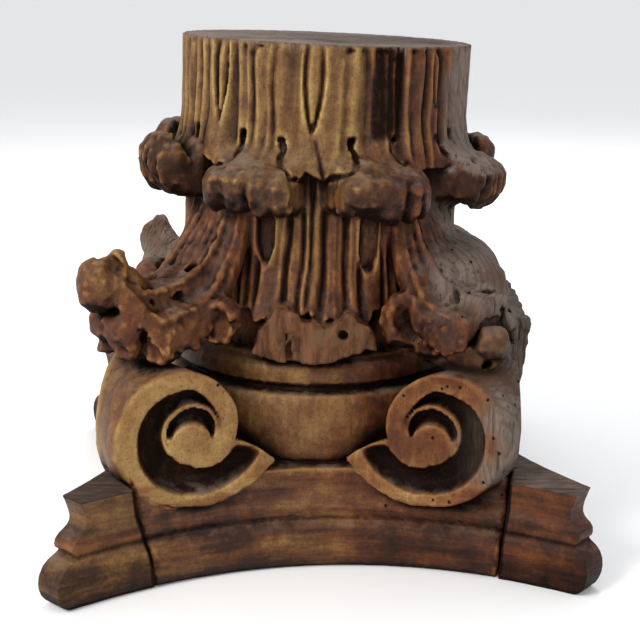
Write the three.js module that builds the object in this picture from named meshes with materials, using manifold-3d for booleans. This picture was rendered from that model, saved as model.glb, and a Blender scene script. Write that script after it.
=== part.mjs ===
// A carved giltwood capital of composite order, stood upside down on its abacus as a base.
// Millimetres, +Z up, the carved front towards -Y. The origin is on the ground, at the
// middle of the abacus. The block, with its two rows of leaves, its volutes and the middle
// of the abacus, is one piece of carved wood. The four horns of the abacus are glued on.
import * as THREE from 'three';
import { LoftGeometry } from 'three/addons/geometries/LoftGeometry.js';
import { mergeVertices } from 'three/addons/utils/BufferGeometryUtils.js';
import Module from 'manifold-3d';

const wasm = await Module();
wasm.setup();

// Overall
const HEIGHT = 300;
const FINEST = 0.2; // steps smaller than this are left out
const LEAN_DEG = 2.4; // the bell leans to the right, and its top is cut square to it

// Abacus, measured at its widest moulding
const ABACUS_HEIGHT = 60;
const ABACUS_WAIST = 110.5; // axis to the middle of a hollow side
const HORN_REACH = 214.3; // axis to the cut end of a horn
const HORN_END_WIDTH = 18;
const HORNS = [
  // name, corner, how much further the mouldings step in across its end, then its glue
  // joint: the way it faces, its distance at the ground and at the top of the abacus
  ['front_left', -45, 1.95, -57, 144, 156],
  ['front_right', 45, 1.4, 77, 135, 137],
  ['back_right', 135, 1.6, 110, 139, 141],
  ['back_left', -135, 1.6, -120, 142, 148],
];
const ABACUS_TURN_DEG = 4; // the abacus sits a little askew under the carving
const SIDE_STEPS = 8;
const ABACUS_PROFILE = [
  // height as a share of the abacus, and how far the face is set in
  [0, 5], [0.1, 1], [0.24, 0], [0.38, 1.6], [0.49, 8],
  [0.53, 5.5], [0.62, 5.5], [0.67, 8.5], [0.71, 11], [0.85, 10.5], [1, 8.5],
];
const JOINT_GAP = 0.8; // the glue has shrunk and the joints stand open

// Echinus, ring and recess between the abacus and the leaves
const ECHINUS_HEIGHT = 44;
const ECHINUS_RADIUS = 94;
const ECHINUS_SWELL = 3;
const RING_HEIGHT = 20;
const RING_RADIUS = 92;
const RECESS_RADIUS = 79;
const TURNED_STEPS = 40;

// The two rows of leaves
const LEAVES = 8;
const BELL_RADIUS = 84;
const UPPER_RADIUS = 87.2;
const UPPER_EDGE = 227; // height of the lower edge of the upper row
const UPPER_NOTCH = 245;
const LOWER_TOP = 244;
const LOWER_EDGE = 150;
const LOWER_FLARE = 13;
const FOLD_DEPTH = 2.6;
const SLOT_DEPTH = 7;
const FOLDS_PER_LEAF = 6;

// Curled leaf tips, cut by eye, so that none is quite like the next
const CURL_WIDTH = 54;
const CURL_REACH = 31; // from the bell to the outside of the curl
const CURL_HEIGHT = 38;
const UPPER_TIPS = [
  // azimuth, height of the middle, growth
  [-157.5, 225, 1], [-112.5, 226, 0.97], [-67.5, 225, 1], [-24.6, 221, 0.98],
  [20.5, 221, 1.02], [67.5, 223, 1.07], [112.5, 224, 1], [157.5, 226, 1],
];
const LOW_TIP = [-90, 140, 1.1];

// Large leaves under the corners. The right one has lost its tip.
const TIP_REACH = 164;
const TIP_HEIGHT = 173;
const CORNER_LEAF_ROOT = 4; // how far inside the bell a corner leaf starts
const CORNER_LEAF_HALF_WIDTH = 33;
const CORNER_LEAF_THICKNESS = 15;
const CORNER_LEAF_PATH = [
  // share of the way from the bell to the tip, height above the tip, width share,
  // droop of the margins
  [0, 53, 0.75, 8], [0.096, 31, 0.8, 10], [0.253, 11, 0.85, 14], [0.482, -2, 0.95, 26],
  [0.723, -5, 0.85, 28], [0.892, 0, 0.6, 14], [1, 7, 0.36, 6],
];
const LOBES = [
  // turn away from the midrib, share of the way to the tip, height above the tip, half sizes
  [12.1, 0.277, -27, [13, 12, 19]], [6.5, 0.602, -35, [13, 13, 17]], [0.8, 0.855, -30, [12, 13, 16]],
];
const WORN_LOBES = [
  [12.1, 0.277, -27, [13, 13, 18]], [6.3, 0.602, -37, [11, 11, 15]], [2.5, 0.747, -31, [12, 8, 12]],
];
const TIP_SIZE = [13, 15, 16];
const BACK_LEAF_DROP = 22; // the back left leaf hangs lower

// Volutes
const VOLUTE_HEIGHT = 82; // of the eye, above the ground
const STRIP_REACH = 163.5; // axis to the edge of the scroll on the diagonal
const STRIP_HALF_WIDTH = 12.5;
const FACE_ANGLE_DEG = 29.4; // each face turns this far away from the diagonal
const FACE_FORWARD = 6; // the front faces stand this much further forward
const RIGHT_TRIM = 118; // the right volute is sawn off flush at its outer side
const EYE_INSET = 41.3; // from the strip to the eye, along the face
const EYE_RADIUS = 13;
const RIM_WIDTH = 11; // at the side; the rim is narrower below
const RIM_NARROWING = 3;
const CHANNEL_DEPTH = 10;
const SPIRAL_STEP_DEG = 45;
const SPIRAL_RADII = [56, 44, 38.5, 39.5, 41.5, 43, 42, 34, 26, 20, 14];
const CHANNEL_START_DEG = 16;
const CHANNEL_END_DEG = 318;
const OUTLINE_STEPS = 26;

// The uncarved right and back sides
const BLANK_REACH = 131.5;
const BLANK_TAPER = 6; // the rough face leans in towards its foot
const BLANK_TOP = 140;
const BLANK_START = -48; // where the rough block begins, behind the front volute
const ROUGH_LUMPS = [
  // azimuth, distance from the axis, height, half sizes
  [54, 102, 153, [33, 28, 32]], [92, 84, 150, [34, 44, 32]], [135, 104, 146, [42, 46, 30]],
  [180, 86, 150, [34, 40, 34]],
];

const UP = new THREE.Vector3(0, 0, 1);
const rad = THREE.MathUtils.degToRad;
const LEAF_ANGLE = 360 / LEAVES;
const ECHINUS_TOP = ABACUS_HEIGHT + ECHINUS_HEIGHT;
const RING_TOP = ECHINUS_TOP + RING_HEIGHT;

// A point at an azimuth: 0 is the front and 90 the right side.
function at(azimuth, r, z) {
  return new THREE.Vector3(r * Math.sin(rad(azimuth)), -r * Math.cos(rad(azimuth)), z);
}

// A closed geometry as a solid, turned face out if it is wound the other way.
function solid(geometry) {
  const bare = new THREE.BufferGeometry();
  bare.setAttribute('position', geometry.getAttribute('position'));
  bare.setIndex(geometry.getIndex());
  const merged = mergeVertices(bare, 1e-3);
  const index = merged.getIndex().array;
  const kept = [];
  for (let i = 0; i < index.length; i += 3) {
    const [a, b, c] = [index[i], index[i + 1], index[i + 2]];
    if (a !== b && b !== c && c !== a) kept.push(a, b, c);
  }
  const build = (triangles) => new wasm.Manifold(new wasm.Mesh({
    numProp: 3,
    vertProperties: new Float32Array(merged.getAttribute('position').array),
    triVerts: new Uint32Array(triangles),
  }));
  const made = build(kept);
  if (made.volume() > 0) return made;
  for (let i = 0; i < kept.length; i += 3) {
    [kept[i + 1], kept[i + 2]] = [kept[i + 2], kept[i + 1]];
  }
  return build(kept);
}

// Skins a row of closed sections, each wound to run counterclockwise about the way ahead.
function loft(sections) {
  const [first, second] = sections;
  const ahead = new THREE.Vector3();
  const facing = new THREE.Vector3();
  first.forEach((p, i) => {
    ahead.add(second[i]).sub(p);
    facing.add(p.clone().cross(first[(i + 1) % first.length]));
  });
  const turned = facing.dot(ahead) < 0;
  const wound = turned ? sections.map((points) => [...points].reverse()) : sections;
  return solid(new LoftGeometry(wound, { capStart: true, capEnd: true }));
}

function join(solids) {
  return solids.reduce((sum, next) => sum.add(next));
}

// The wood runs through: spaces closed in between the parts of the carving are filled.
function filled(made) {
  return join(made.decompose().filter((shell) => shell.volume() > 0));
}

function box(lowX, highX, lowY, highY, lowZ, highZ) {
  const geometry = new THREE.BoxGeometry(highX - lowX, highY - lowY, highZ - lowZ);
  geometry.translate((lowX + highX) / 2, (lowY + highY) / 2, (lowZ + highZ) / 2);
  return solid(geometry);
}

// How far an azimuth is from the middle of the nearest leaf of a row.
function fromLeaf(azimuth, firstLeaf) {
  const turn = (azimuth - firstLeaf) / LEAF_ANGLE;
  return (turn - Math.round(turn)) * LEAF_ANGLE;
}

// A ring of leaf folds: ridge, groove, ridge, with a deep slot between two leaves.
function foldedRing(radiusAt, heightAt, firstLeaf) {
  const columns = LEAVES * FOLDS_PER_LEAF * 2;
  return Array.from({ length: columns }, (_, i) => {
    const azimuth = firstLeaf + (i / columns) * 360;
    const side = Math.abs(fromLeaf(azimuth, firstLeaf));
    const between = side > LEAF_ANGLE / 2 - 1;
    const fold = between ? -SLOT_DEPTH : (i % 2 === 0 ? FOLD_DEPTH / 2 : -FOLD_DEPTH);
    return at(azimuth, radiusAt(side) + fold, heightAt(side));
  });
}

// Upper row: its lower edge is scalloped, with a notch on each side of every tip.
function upperRow() {
  const notch = LEAF_ANGLE * 0.2;
  const edge = (side) => (Math.abs(side - notch) < 1.5 ? UPPER_NOTCH : UPPER_EDGE);
  const firstLeaf = LEAF_ANGLE / 2;
  return loft([
    foldedRing(() => UPPER_RADIUS, edge, firstLeaf),
    foldedRing(() => UPPER_RADIUS - 0.5, (side) => edge(side) + 18, firstLeaf),
    foldedRing(() => UPPER_RADIUS, () => HEIGHT, firstLeaf),
  ]);
}

// Lower row: its leaves stand between those above, and flare out at the foot.
function lowerRow() {
  const stations = [[1, 0], [0.6, 0.02], [0.34, 0.25], [0.15, 0.6], [0, 1]];
  return loft(stations.map(([share, flare]) => foldedRing(
    (side) => BELL_RADIUS + LOWER_FLARE * flare * (side > LEAF_ANGLE / 2 - 4 ? 0.4 : 1),
    () => THREE.MathUtils.lerp(LOWER_EDGE, LOWER_TOP, share),
    0,
  )));
}

// Echinus, ring and the recess under the leaves, turned about the axis.
function turnedCore() {
  const profile = [
    [0, 20], [ECHINUS_RADIUS - 8, 20], [ECHINUS_RADIUS, ABACUS_HEIGHT],
    [ECHINUS_RADIUS + ECHINUS_SWELL, ABACUS_HEIGHT + ECHINUS_HEIGHT * 0.45],
    [ECHINUS_RADIUS, ECHINUS_TOP - 4], [RING_RADIUS - 7, ECHINUS_TOP],
    [RING_RADIUS - 1, ECHINUS_TOP + RING_HEIGHT * 0.25],
    [RING_RADIUS, ECHINUS_TOP + RING_HEIGHT * 0.55],
    [RING_RADIUS - 3, RING_TOP - 2], [RECESS_RADIUS, RING_TOP],
    [RECESS_RADIUS, LOWER_TOP], [0, LOWER_TOP],
  ];
  const points = profile.map(([r, z]) => new THREE.Vector2(r, z));
  const turned = new THREE.LatheGeometry(points, TURNED_STEPS);
  turned.rotateX(Math.PI / 2);
  return solid(turned);
}

// A curled leaf tip: the sheet bends out and its end turns back up, leaving a hollow behind.
function curl(azimuth, centre, growth) {
  const reach = CURL_REACH * growth;
  const half = (CURL_HEIGHT / 2) * growth;
  const hook = [
    [-8, 0.95], [0.12, 0.85], [0.36, 0.3], [0.52, 0.95], [0.78, 0.92], [0.96, 0.5],
    [1, 0.05], [0.88, -0.55], [0.6, -0.95], [0.2, -1], [-8, -0.9],
  ];
  const sections = [];
  for (let i = 0; i <= 6; i++) {
    const across = i / 3 - 1;
    const lobe = 1 - 0.14 * (i % 2);
    const swell = lobe * (0.55 + 0.45 * Math.sqrt(Math.max(0, 1 - across * across)));
    const side = (across * CURL_WIDTH * growth) / 2;
    sections.push(hook.map(([out, up]) => {
      const r = BELL_RADIUS + (out < 0 ? out : out * reach * swell);
      const p = at(azimuth, r, centre + up * half * swell);
      return p.add(at(azimuth + 90, side, 0));
    }));
  }
  return loft(sections);
}

// A rounded lump of leaf or of rough wood, boxy where the power is small.
function lump(azimuth, r, z, size, power = 0.8) {
  const shape = new THREE.SphereGeometry(1, 10, 6);
  shape.rotateX(Math.PI / 2);
  const position = shape.getAttribute('position');
  const swell = (v) => Math.sign(v) * Math.pow(Math.abs(v), power);
  for (let i = 0; i < position.count; i++) {
    const p = at(azimuth, r + size[0] * swell(position.getY(i)), 0);
    p.add(at(azimuth + 90, size[1] * swell(position.getX(i)), 0));
    position.setXYZ(i, p.x, p.y, z + size[2] * swell(position.getZ(i)));
  }
  return solid(shape);
}

// Distance from the axis at a share of the way from the bell to the tip of a corner leaf.
function alongLeaf(share) {
  return THREE.MathUtils.lerp(BELL_RADIUS - CORNER_LEAF_ROOT, TIP_REACH - 1, share);
}

// A corner leaf: it leaves the bell, sweeps out nearly level and turns up at the tip.
function cornerLeaf(azimuth, sag = 0, length = CORNER_LEAF_PATH.length) {
  const across = [-1, -0.72, -0.36, 0, 0.36, 0.72, 1];
  const path = CORNER_LEAF_PATH.slice(0, length)
    .map(([share, up, ...rest]) => [alongLeaf(share), TIP_HEIGHT + up - sag * share, ...rest]);
  const sections = path.map(([r, z, width, droop], i) => {
    const before = path[Math.max(0, i - 1)];
    const after = path[Math.min(path.length - 1, i + 1)];
    const along = new THREE.Vector2(after[0] - before[0], after[1] - before[1]).normalize();
    const half = CORNER_LEAF_HALF_WIDTH * width;
    const point = (share, depth) => {
      const drop = droop * share * share + depth;
      const p = at(azimuth, r + along.y * drop, z - along.x * drop);
      return p.add(at(azimuth + 90, half * share, 0));
    };
    const top = across.map((share, k) => point(share, k % 2 ? 2.5 : 0));
    const under = [0.8, 0.3, -0.3, -0.8].map((share) => point(share, CORNER_LEAF_THICKNESS));
    return [...top, ...under];
  });
  return loft(sections);
}

// The lobes that turn down along one margin of a corner leaf.
function lobesOf(azimuth, side, lobes, sag = 0) {
  return lobes.map(([turn, share, up, size]) => (
    lump(azimuth + side * turn, alongLeaf(share), TIP_HEIGHT + up - sag / 2, size)
  ));
}

// Radius of the scroll's outer edge at a turn about the eye, from the tail inwards.
function spiralRadius(turn) {
  const place = turn / SPIRAL_STEP_DEG;
  const low = Math.min(SPIRAL_RADII.length - 2, Math.floor(place));
  return THREE.MathUtils.lerp(SPIRAL_RADII[low], SPIRAL_RADII[low + 1], place - low);
}

// Where a point of a volute face lies: in is measured along the face from the strip,
// side picks one of the two faces of a corner, and depth goes into the wood.
function onFace(corner, side, inset, z, depth = 0) {
  const turn = rad(FACE_ANGLE_DEG);
  const along = STRIP_REACH - inset * Math.cos(turn) - depth * Math.sin(turn);
  const across = STRIP_HALF_WIDTH + inset * Math.sin(turn) - depth * Math.cos(turn);
  const front = Math.abs(corner) < 90 && side * corner < 0;
  const p = at(corner, along, z).add(at(corner + 90, side * across, 0));
  return p.setY(p.y - (front ? FACE_FORWARD : 0));
}

// A point of a volute face in turns about its eye.
function aboutEye(corner, side, turn, radius, depth) {
  const inset = EYE_INSET + radius * Math.cos(rad(turn));
  return onFace(corner, side, inset, VOLUTE_HEIGHT - radius * Math.sin(rad(turn)), depth);
}

function sweepOfTurns(start, end, steps) {
  return Array.from({ length: steps + 1 }, (_, i) => start + ((end - start) * i) / steps);
}

// The scroll at one corner: a wedge between its two faces, thin at the strip.
function scroll(corner) {
  const turns = sweepOfTurns(CHANNEL_START_DEG, 360, OUTLINE_STEPS);
  const face = (side) => turns.map((turn) => aboutEye(corner, side, turn, spiralRadius(turn), 0));
  return loft([face(-1), face(1)]);
}

// The channel sunk between two turns of the rim.
function channel(corner, side) {
  const start = CHANNEL_START_DEG - 6;
  const turns = sweepOfTurns(start, CHANNEL_END_DEG, 16);
  const outer = (turn) => {
    const closing = THREE.MathUtils.smoothstep(turn, 250, CHANNEL_END_DEG);
    const rim = RIM_WIDTH - RIM_NARROWING * Math.max(0, Math.sin(rad(turn)));
    return THREE.MathUtils.lerp(spiralRadius(turn) - rim, EYE_RADIUS + 4, closing);
  };
  const inner = (turn) => {
    if (turn + 360 > SPIRAL_STEP_DEG * (SPIRAL_RADII.length - 1)) return EYE_RADIUS;
    return Math.max(EYE_RADIUS, spiralRadius(turn + 360));
  };
  const ring = (depth, shrink) => [
    ...turns.map((turn) => aboutEye(corner, side, turn, outer(turn) - shrink, depth)),
    ...[...turns].reverse().map((turn) => aboutEye(corner, side, turn, inner(turn) + shrink / 2, depth)),
  ];
  return loft([ring(-6, 0), ring(CHANNEL_DEPTH, 1.5)]);
}

// Plan of the abacus, set in by a moulding: hollow sides between cut-off horns.
function abacusRing(inset, z, growth) {
  const waist = ABACUS_WAIST - inset + growth;
  const endOf = ([, , deeper]) => {
    const reach = (HORN_REACH - inset * deeper + growth) / Math.SQRT2;
    const cut = (HORN_END_WIDTH / 2 - inset * 0.15 + growth) / Math.SQRT2;
    return [reach - cut, reach + cut];
  };
  const points = [];
  HORNS.forEach((horn, quarter) => {
    const ends = [endOf(horn), endOf(HORNS[(quarter + 1) % HORNS.length])];
    for (let i = 0; i <= SIDE_STEPS; i++) {
      const share = (2 * i) / SIDE_STEPS - 1;
      const [half, depth] = ends[share < 0 ? 0 : 1];
      const p = new THREE.Vector3(half * share, -waist - (depth - waist) * share * share, z);
      points.push(p.applyAxisAngle(UP, rad(quarter * 90 + ABACUS_TURN_DEG)));
    }
  });
  return points;
}

// The abacus, or the room it takes up when it is grown all round.
function abacus(growth = 0) {
  const height = ABACUS_HEIGHT + growth;
  return loft(ABACUS_PROFILE.map(([share, inset]) => abacusRing(inset, share * height, growth)));
}

// Everything beyond the glue joint of a horn.
function beyondJoint([, , , azimuth, foot, head], gap = 0) {
  const slope = (head - foot) / ABACUS_HEIGHT;
  const plan = (z) => {
    const near = foot + slope * z + gap;
    return [[near, -150], [near, 150], [near + 150, 150], [near + 150, -150]]
      .map(([reach, side]) => at(azimuth, reach, z).add(at(azimuth + 90, side, 0)));
  };
  return loft([plan(-5), plan(ABACUS_HEIGHT + 5)]);
}

// The rough block left on the right and at the back, and the lumps roughed out above it.
function blank() {
  const plan = (reach, z) => [
    [60, BLANK_START], [reach, BLANK_START], [reach, reach - 14], [reach - 14, reach - 6],
    [BLANK_START, reach - 6], [BLANK_START, 60], [60, 60],
  ].map(([x, y]) => new THREE.Vector3(x, y, z));
  const slab = loft([plan(BLANK_REACH - BLANK_TAPER, ABACUS_HEIGHT - 4), plan(BLANK_REACH, BLANK_TOP)]);
  return join([slab, ...ROUGH_LUMPS.map(([azimuth, r, z, size]) => lump(azimuth, r, z, size))]);
}

// The whole carved block, before the horns are parted from it.
function carvedBlock() {
  const parts = [turnedCore(), lowerRow(), upperRow(), abacus(), blank()];
  const scar = box(-37, 36, -BELL_RADIUS - 16, -60, RING_TOP + 1, LOWER_EDGE + 4);
  parts.push(scar, ...UPPER_TIPS.map((tip) => curl(...tip)), curl(...LOW_TIP));
  const trim = box(RIGHT_TRIM, 200, -200, BLANK_START, ABACUS_HEIGHT + 1, RING_TOP + 8);
  parts.push(...[-135, -45, 135].map(scroll), scroll(45).subtract(trim));
  for (const [corner, sag] of [[-45, 0], [-135, BACK_LEAF_DROP]]) {
    parts.push(cornerLeaf(corner, sag), lump(corner, TIP_REACH, TIP_HEIGHT - sag, TIP_SIZE));
    parts.push(...lobesOf(corner, 1, LOBES, sag), ...lobesOf(corner, -1, LOBES, sag));
  }
  parts.push(cornerLeaf(45, 0, 5), ...lobesOf(45, -1, WORN_LOBES));
  const whole = filled(join(parts));
  const carved = [[-45, 1], [-45, -1], [45, -1], [-135, 1]];
  return carved.reduce((body, [corner, side]) => body.subtract(channel(corner, side)), whole);
}

// The bell leans: the higher a point, the further it moves to the right, and a level
// surface tilts with it. The ground stays level.
function leaning(made) {
  const slope = Math.tan(rad(LEAN_DEG));
  return made.asOriginal().simplify(FINEST).warp((p) => {
    const [x, z] = [p[0], p[2]];
    p[0] = x + slope * z;
    p[2] = z - slope * x * (z / HEIGHT);
  });
}

function meshOf(name, made, material) {
  const data = made.getMesh();
  const geometry = new THREE.BufferGeometry();
  geometry.setAttribute('position', new THREE.BufferAttribute(data.vertProperties, data.numProp));
  geometry.setIndex(new THREE.BufferAttribute(data.triVerts, 1));
  geometry.computeVertexNormals();
  const mesh = new THREE.Mesh(geometry, material);
  mesh.name = name;
  return mesh;
}

const gilding = new THREE.MeshStandardMaterial({ color: 0x6b4a2b, roughness: 0.55, metalness: 0.3 });
const hornGilding = new THREE.MeshStandardMaterial({ color: 0x5f4329, roughness: 0.6, metalness: 0.25 });

const capital = new THREE.Group();
let block = carvedBlock();
for (const horn of HORNS) {
  block = block.subtract(abacus(JOINT_GAP).intersect(beyondJoint(horn)));
  const loose = abacus().intersect(beyondJoint(horn, JOINT_GAP));
  capital.add(meshOf(`horn_${horn[0]}`, leaning(loose), hornGilding));
}
capital.add(meshOf('carved_block', leaning(block), gilding));

export default capital;
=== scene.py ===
"""A worn giltwood capital stood upside down on its abacus: carving, glued horns, worm holes."""
import math
from itertools import product

import bmesh
import bpy
import numpy as np
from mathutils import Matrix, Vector
from mathutils.bvhtree import BVHTree


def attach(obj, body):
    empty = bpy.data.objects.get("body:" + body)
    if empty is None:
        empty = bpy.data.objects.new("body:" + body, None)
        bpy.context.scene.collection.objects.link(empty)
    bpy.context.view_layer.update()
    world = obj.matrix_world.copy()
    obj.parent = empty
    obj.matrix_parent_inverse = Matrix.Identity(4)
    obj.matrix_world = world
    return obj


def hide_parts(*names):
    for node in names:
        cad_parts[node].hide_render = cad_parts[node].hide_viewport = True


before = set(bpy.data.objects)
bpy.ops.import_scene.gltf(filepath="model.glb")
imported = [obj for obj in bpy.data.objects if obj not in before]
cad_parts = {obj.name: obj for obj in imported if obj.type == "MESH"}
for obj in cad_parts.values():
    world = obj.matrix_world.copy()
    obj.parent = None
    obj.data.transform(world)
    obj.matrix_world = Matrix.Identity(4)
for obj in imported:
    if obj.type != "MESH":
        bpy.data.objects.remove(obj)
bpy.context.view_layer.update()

MM = 0.001
HEIGHT = 300.0
LEAN = math.tan(math.radians(2.4))
ABACUS_HEIGHT = 60.0
ABACUS_WAIST = 110.5
ABACUS_TURN = 4.0
HORN_REACH = 214.3
HORN_END_WIDTH = 18.0
JOINT_GAP = 0.8
HORNS = {
    # corner, how far the mouldings step in across the end, then the glue joint: its way,
    # its distance at the ground and at the top of the abacus
    "front_left": (-45, 1.95, -57, 144, 156),
    "front_right": (45, 1.4, 77, 135, 137),
    "back_right": (135, 1.6, 110, 139, 141),
    "back_left": (-135, 1.6, -120, 142, 148),
}
# share of the abacus height, inset of the face in mm
MOULDING = [
    (0, 5), (0.04, 2.4), (0.1, 1), (0.17, 0.2), (0.24, 0), (0.31, 0.4), (0.38, 1.6), (0.43, 3.4),
    (0.475, 6.2), (0.49, 6.8), (0.505, 6.7), (0.525, 5.9), (0.56, 5.5), (0.61, 5.8), (0.65, 7),
    (0.68, 8.6), (0.71, 9.9), (0.745, 10.6), (0.79, 10.7), (0.85, 10.3), (0.93, 9.4), (1, 8.5),
]


def lean(points):
    """The bell leans to the right, and level surfaces tilt with it."""
    moved = np.array(points, dtype=np.float64)
    moved[:, 0] = points[:, 0] + LEAN * points[:, 2]
    moved[:, 2] = points[:, 2] - LEAN * points[:, 0] * points[:, 2] / HEIGHT
    return moved


def way(azimuth):
    turn = math.radians(azimuth)
    return math.sin(turn), -math.cos(turn)


def out_and_aside(azimuth, x, y):
    """How far a place lies out along an azimuth, and how far to its side."""
    out, side = way(azimuth), way(azimuth + 90)
    return x * out[0] + y * out[1], x * side[0] + y * side[1]


# ---------------------------------------------------------------- carving on a grid
STEP = 1.08
LOW = np.array([-143.0, -143.0, -3.0])
HIGH = np.array([143.0, 143.0, 304.0])
AXES = [np.arange(LOW[i], HIGH[i] + STEP, STEP).astype(np.float32) for i in range(3)]
SHAPE = tuple(len(axis) for axis in AXES)
field = np.full(SHAPE, 40.0, dtype=np.float32)
TABLE_STEP = 0.5
chance = np.random.default_rng(11)


def room(low, high):
    """The part of the grid inside a box, and its coordinates."""
    cuts = []
    for i in range(3):
        first = max(0, int(np.searchsorted(AXES[i], low[i])))
        last = min(SHAPE[i], int(np.searchsorted(AXES[i], high[i])) + 1)
        cuts.append(slice(first, last))
    x = AXES[0][cuts[0]][:, None, None]
    y = AXES[1][cuts[1]][None, :, None]
    z = AXES[2][cuts[2]][None, None, :]
    return tuple(cuts), x, y, z


def union(a, b, blend):
    if blend <= 0:
        return np.minimum(a, b)
    near = np.maximum(blend - np.abs(a - b), 0) / blend
    return np.minimum(a, b) - near * near * blend / 4


def inside_both(a, b, blend):
    return -union(-a, -b, blend)


def add(low, high, shape, blend=1.5):
    cuts, x, y, z = room(low, high)
    field[cuts] = union(field[cuts], shape(x, y, z).astype(np.float32), blend)


def carve(low, high, shape, blend=1.5):
    cuts, x, y, z = room(low, high)
    field[cuts] = inside_both(field[cuts], -shape(x, y, z).astype(np.float32), blend)


def polygon_distance(px, py, points):
    """Signed distance to a closed outline, negative inside."""
    nearest = np.full(np.broadcast(px, py).shape, 1e9)
    inside = np.zeros(nearest.shape, dtype=bool)
    for (ax, ay), (bx, by) in zip(points, points[1:] + points[:1]):
        ex, ey = bx - ax, by - ay
        share = np.clip(((px - ax) * ex + (py - ay) * ey) / (ex * ex + ey * ey + 1e-9), 0, 1)
        nearest = np.minimum(nearest, (px - ax - share * ex) ** 2 + (py - ay - share * ey) ** 2)
        crosses = ((ay > py) != (by > py)) & (px < (bx - ax) * (py - ay) / (by - ay + 1e-12) + ax)
        inside ^= crosses
    return np.where(inside, -1, 1) * np.sqrt(nearest)


def sampled(table, a, b, start_a, start_b, step_a=TABLE_STEP, step_b=TABLE_STEP):
    """Bilinear lookup in a table of distances."""
    u = np.clip((a - start_a) / step_a, 0, table.shape[0] - 1.001)
    v = np.clip((b - start_b) / step_b, 0, table.shape[1] - 1.001)
    i, j = u.astype(np.int32), v.astype(np.int32)
    u, v = u - i, v - j
    low = table[i, j] * (1 - v) + table[i, j + 1] * v
    high = table[i + 1, j] * (1 - v) + table[i + 1, j + 1] * v
    return low * (1 - u) + high * u


def outline_table(points, low, high):
    a = np.arange(low[0], high[0] + TABLE_STEP, TABLE_STEP)[:, None]
    b = np.arange(low[1], high[1] + TABLE_STEP, TABLE_STEP)[None, :]
    return polygon_distance(a, b, points)


def weighted_corners(share):
    """The eight corners of a cell, and how much each counts at a share of the way through it."""
    for i, j, k in product((0, 1), repeat=3):
        weight = np.abs(1 - i - share[:, 0]) * np.abs(1 - j - share[:, 1]) * np.abs(1 - k - share[:, 2])
        yield (i, j, k), weight


def lattice_noise(points, size, seed):
    """Smooth noise from -1 to 1 on points in mm."""
    cells = 64
    table = np.random.default_rng(seed).uniform(-1, 1, (cells, cells, cells)).astype(np.float32)
    place = np.asarray(points, dtype=np.float32) / size + 300.0
    base = np.floor(place).astype(np.int32)
    share = place - base
    share = share * share * (3 - 2 * share)
    result = np.zeros(len(place), dtype=np.float32)
    for offset, weight in weighted_corners(share):
        result += weight * table[tuple(((base + offset) % cells).T)]
    return result


def cell_facets(points, size, seed):
    """Distance to the nearest of scattered points, from 0 to about 1: shallow cuts of a gouge."""
    cells = 32
    table = np.random.default_rng(seed).uniform(0, 1, (cells, cells, cells, 3)).astype(np.float32)
    place = np.asarray(points, dtype=np.float32) / size + 200.0
    base = np.floor(place).astype(np.int32)
    nearest = np.full(len(place), 9.0, dtype=np.float32)
    for offset in product((-1, 0, 1), repeat=3):
        cell = base + offset
        spot = cell + table[tuple((cell % cells).T)]
        nearest = np.minimum(nearest, ((place - spot) ** 2).sum(1))
    return np.sqrt(nearest)


def grid_value(grid, points, step):
    place = (points - LOW) / step
    base = np.clip(np.floor(place).astype(np.int32), 0, np.array(grid.shape) - 2)
    share = place - base
    result = np.zeros(len(points))
    for offset, weight in weighted_corners(share):
        result += weight * grid[tuple((base + offset).T)]
    return result


def turned(points):
    table = outline_table(points, (0, 0), (220, 310))

    def shape(x, y, z):
        return sampled(table, np.hypot(x, y), z, 0, 0)
    return shape


def ellipsoid(azimuth, r, centre_z, size, turn=0.0):
    """size is outwards, sideways and upwards."""
    def shape(x, y, z):
        a, t = out_and_aside(azimuth, x, y)
        a, u = a - r, z - centre_z
        if turn:
            c, s = math.cos(math.radians(turn)), math.sin(math.radians(turn))
            a, t = a * c + t * s, t * c - a * s
        deep, wide, tall = size
        near = np.sqrt((a / deep) ** 2 + (t / wide) ** 2 + (u / tall) ** 2) + 1e-6
        slope = np.sqrt((a / deep ** 2) ** 2 + (t / wide ** 2) ** 2 + (u / tall ** 2) ** 2) + 1e-6
        return near * (near - 1) / slope
    return shape


def middle_box(half, low, high):
    return (-half, -half, low), (half, half, high)


def around(azimuth, r, z, reach):
    out = way(azimuth)
    x, y = out[0] * r, out[1] * r
    return (x - reach, y - reach, z - reach), (x + reach, y + reach, z + reach)


def smooth(value, low, high):
    share = np.clip((value - low) / (high - low), 0, 1)
    return share * share * (3 - 2 * share)


def fall(value, low, high):
    return 1 - smooth(value, low, high)


def band(value, start, full, fade, end):
    """1 between two soft ends."""
    return smooth(value, start, full) * fall(value, fade, end)


def hump(value, width, power=2):
    """1 at 0, fading away to both sides."""
    return np.exp(-((value / width) ** power))


def near_to(points, place, reach):
    """1 at a place, fading away round it."""
    return np.exp(-(((points - place) / reach) ** 2).sum(1) ** 2)


# ---------------------------------------------------------------- the two rows of leaves
AZ_STEP = 0.25
AZ = np.arange(-180, 180 + AZ_STEP, AZ_STEP)[:, None]
TABLE_FOOT, TABLE_TOP = 100, 304
ZT = np.arange(TABLE_FOOT, TABLE_TOP, TABLE_STEP)[None, :]


def nearest_turn(azimuth, centre):
    return (azimuth - centre + 180) % 360 - 180


def folds(base, grooves, wave):
    """Radius of a folded row of leaves: rounded ridges between sharp grooves."""
    moved = AZ + wave * (np.sin(ZT / 17 + AZ / 9) + 0.5 * np.sin(ZT / 7.3 + AZ / 4))
    depth = np.zeros(moved.shape)
    gap = np.full(moved.shape, 99.0)
    for azimuth, deep, width in grooves:
        off = np.abs(nearest_turn(moved, azimuth))
        depth = np.maximum(depth, deep * hump(off, width))
        gap = np.minimum(gap, off)
    bulge = 1.5 * (1 - hump(gap, 3.0))
    return base + bulge - depth


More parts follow.
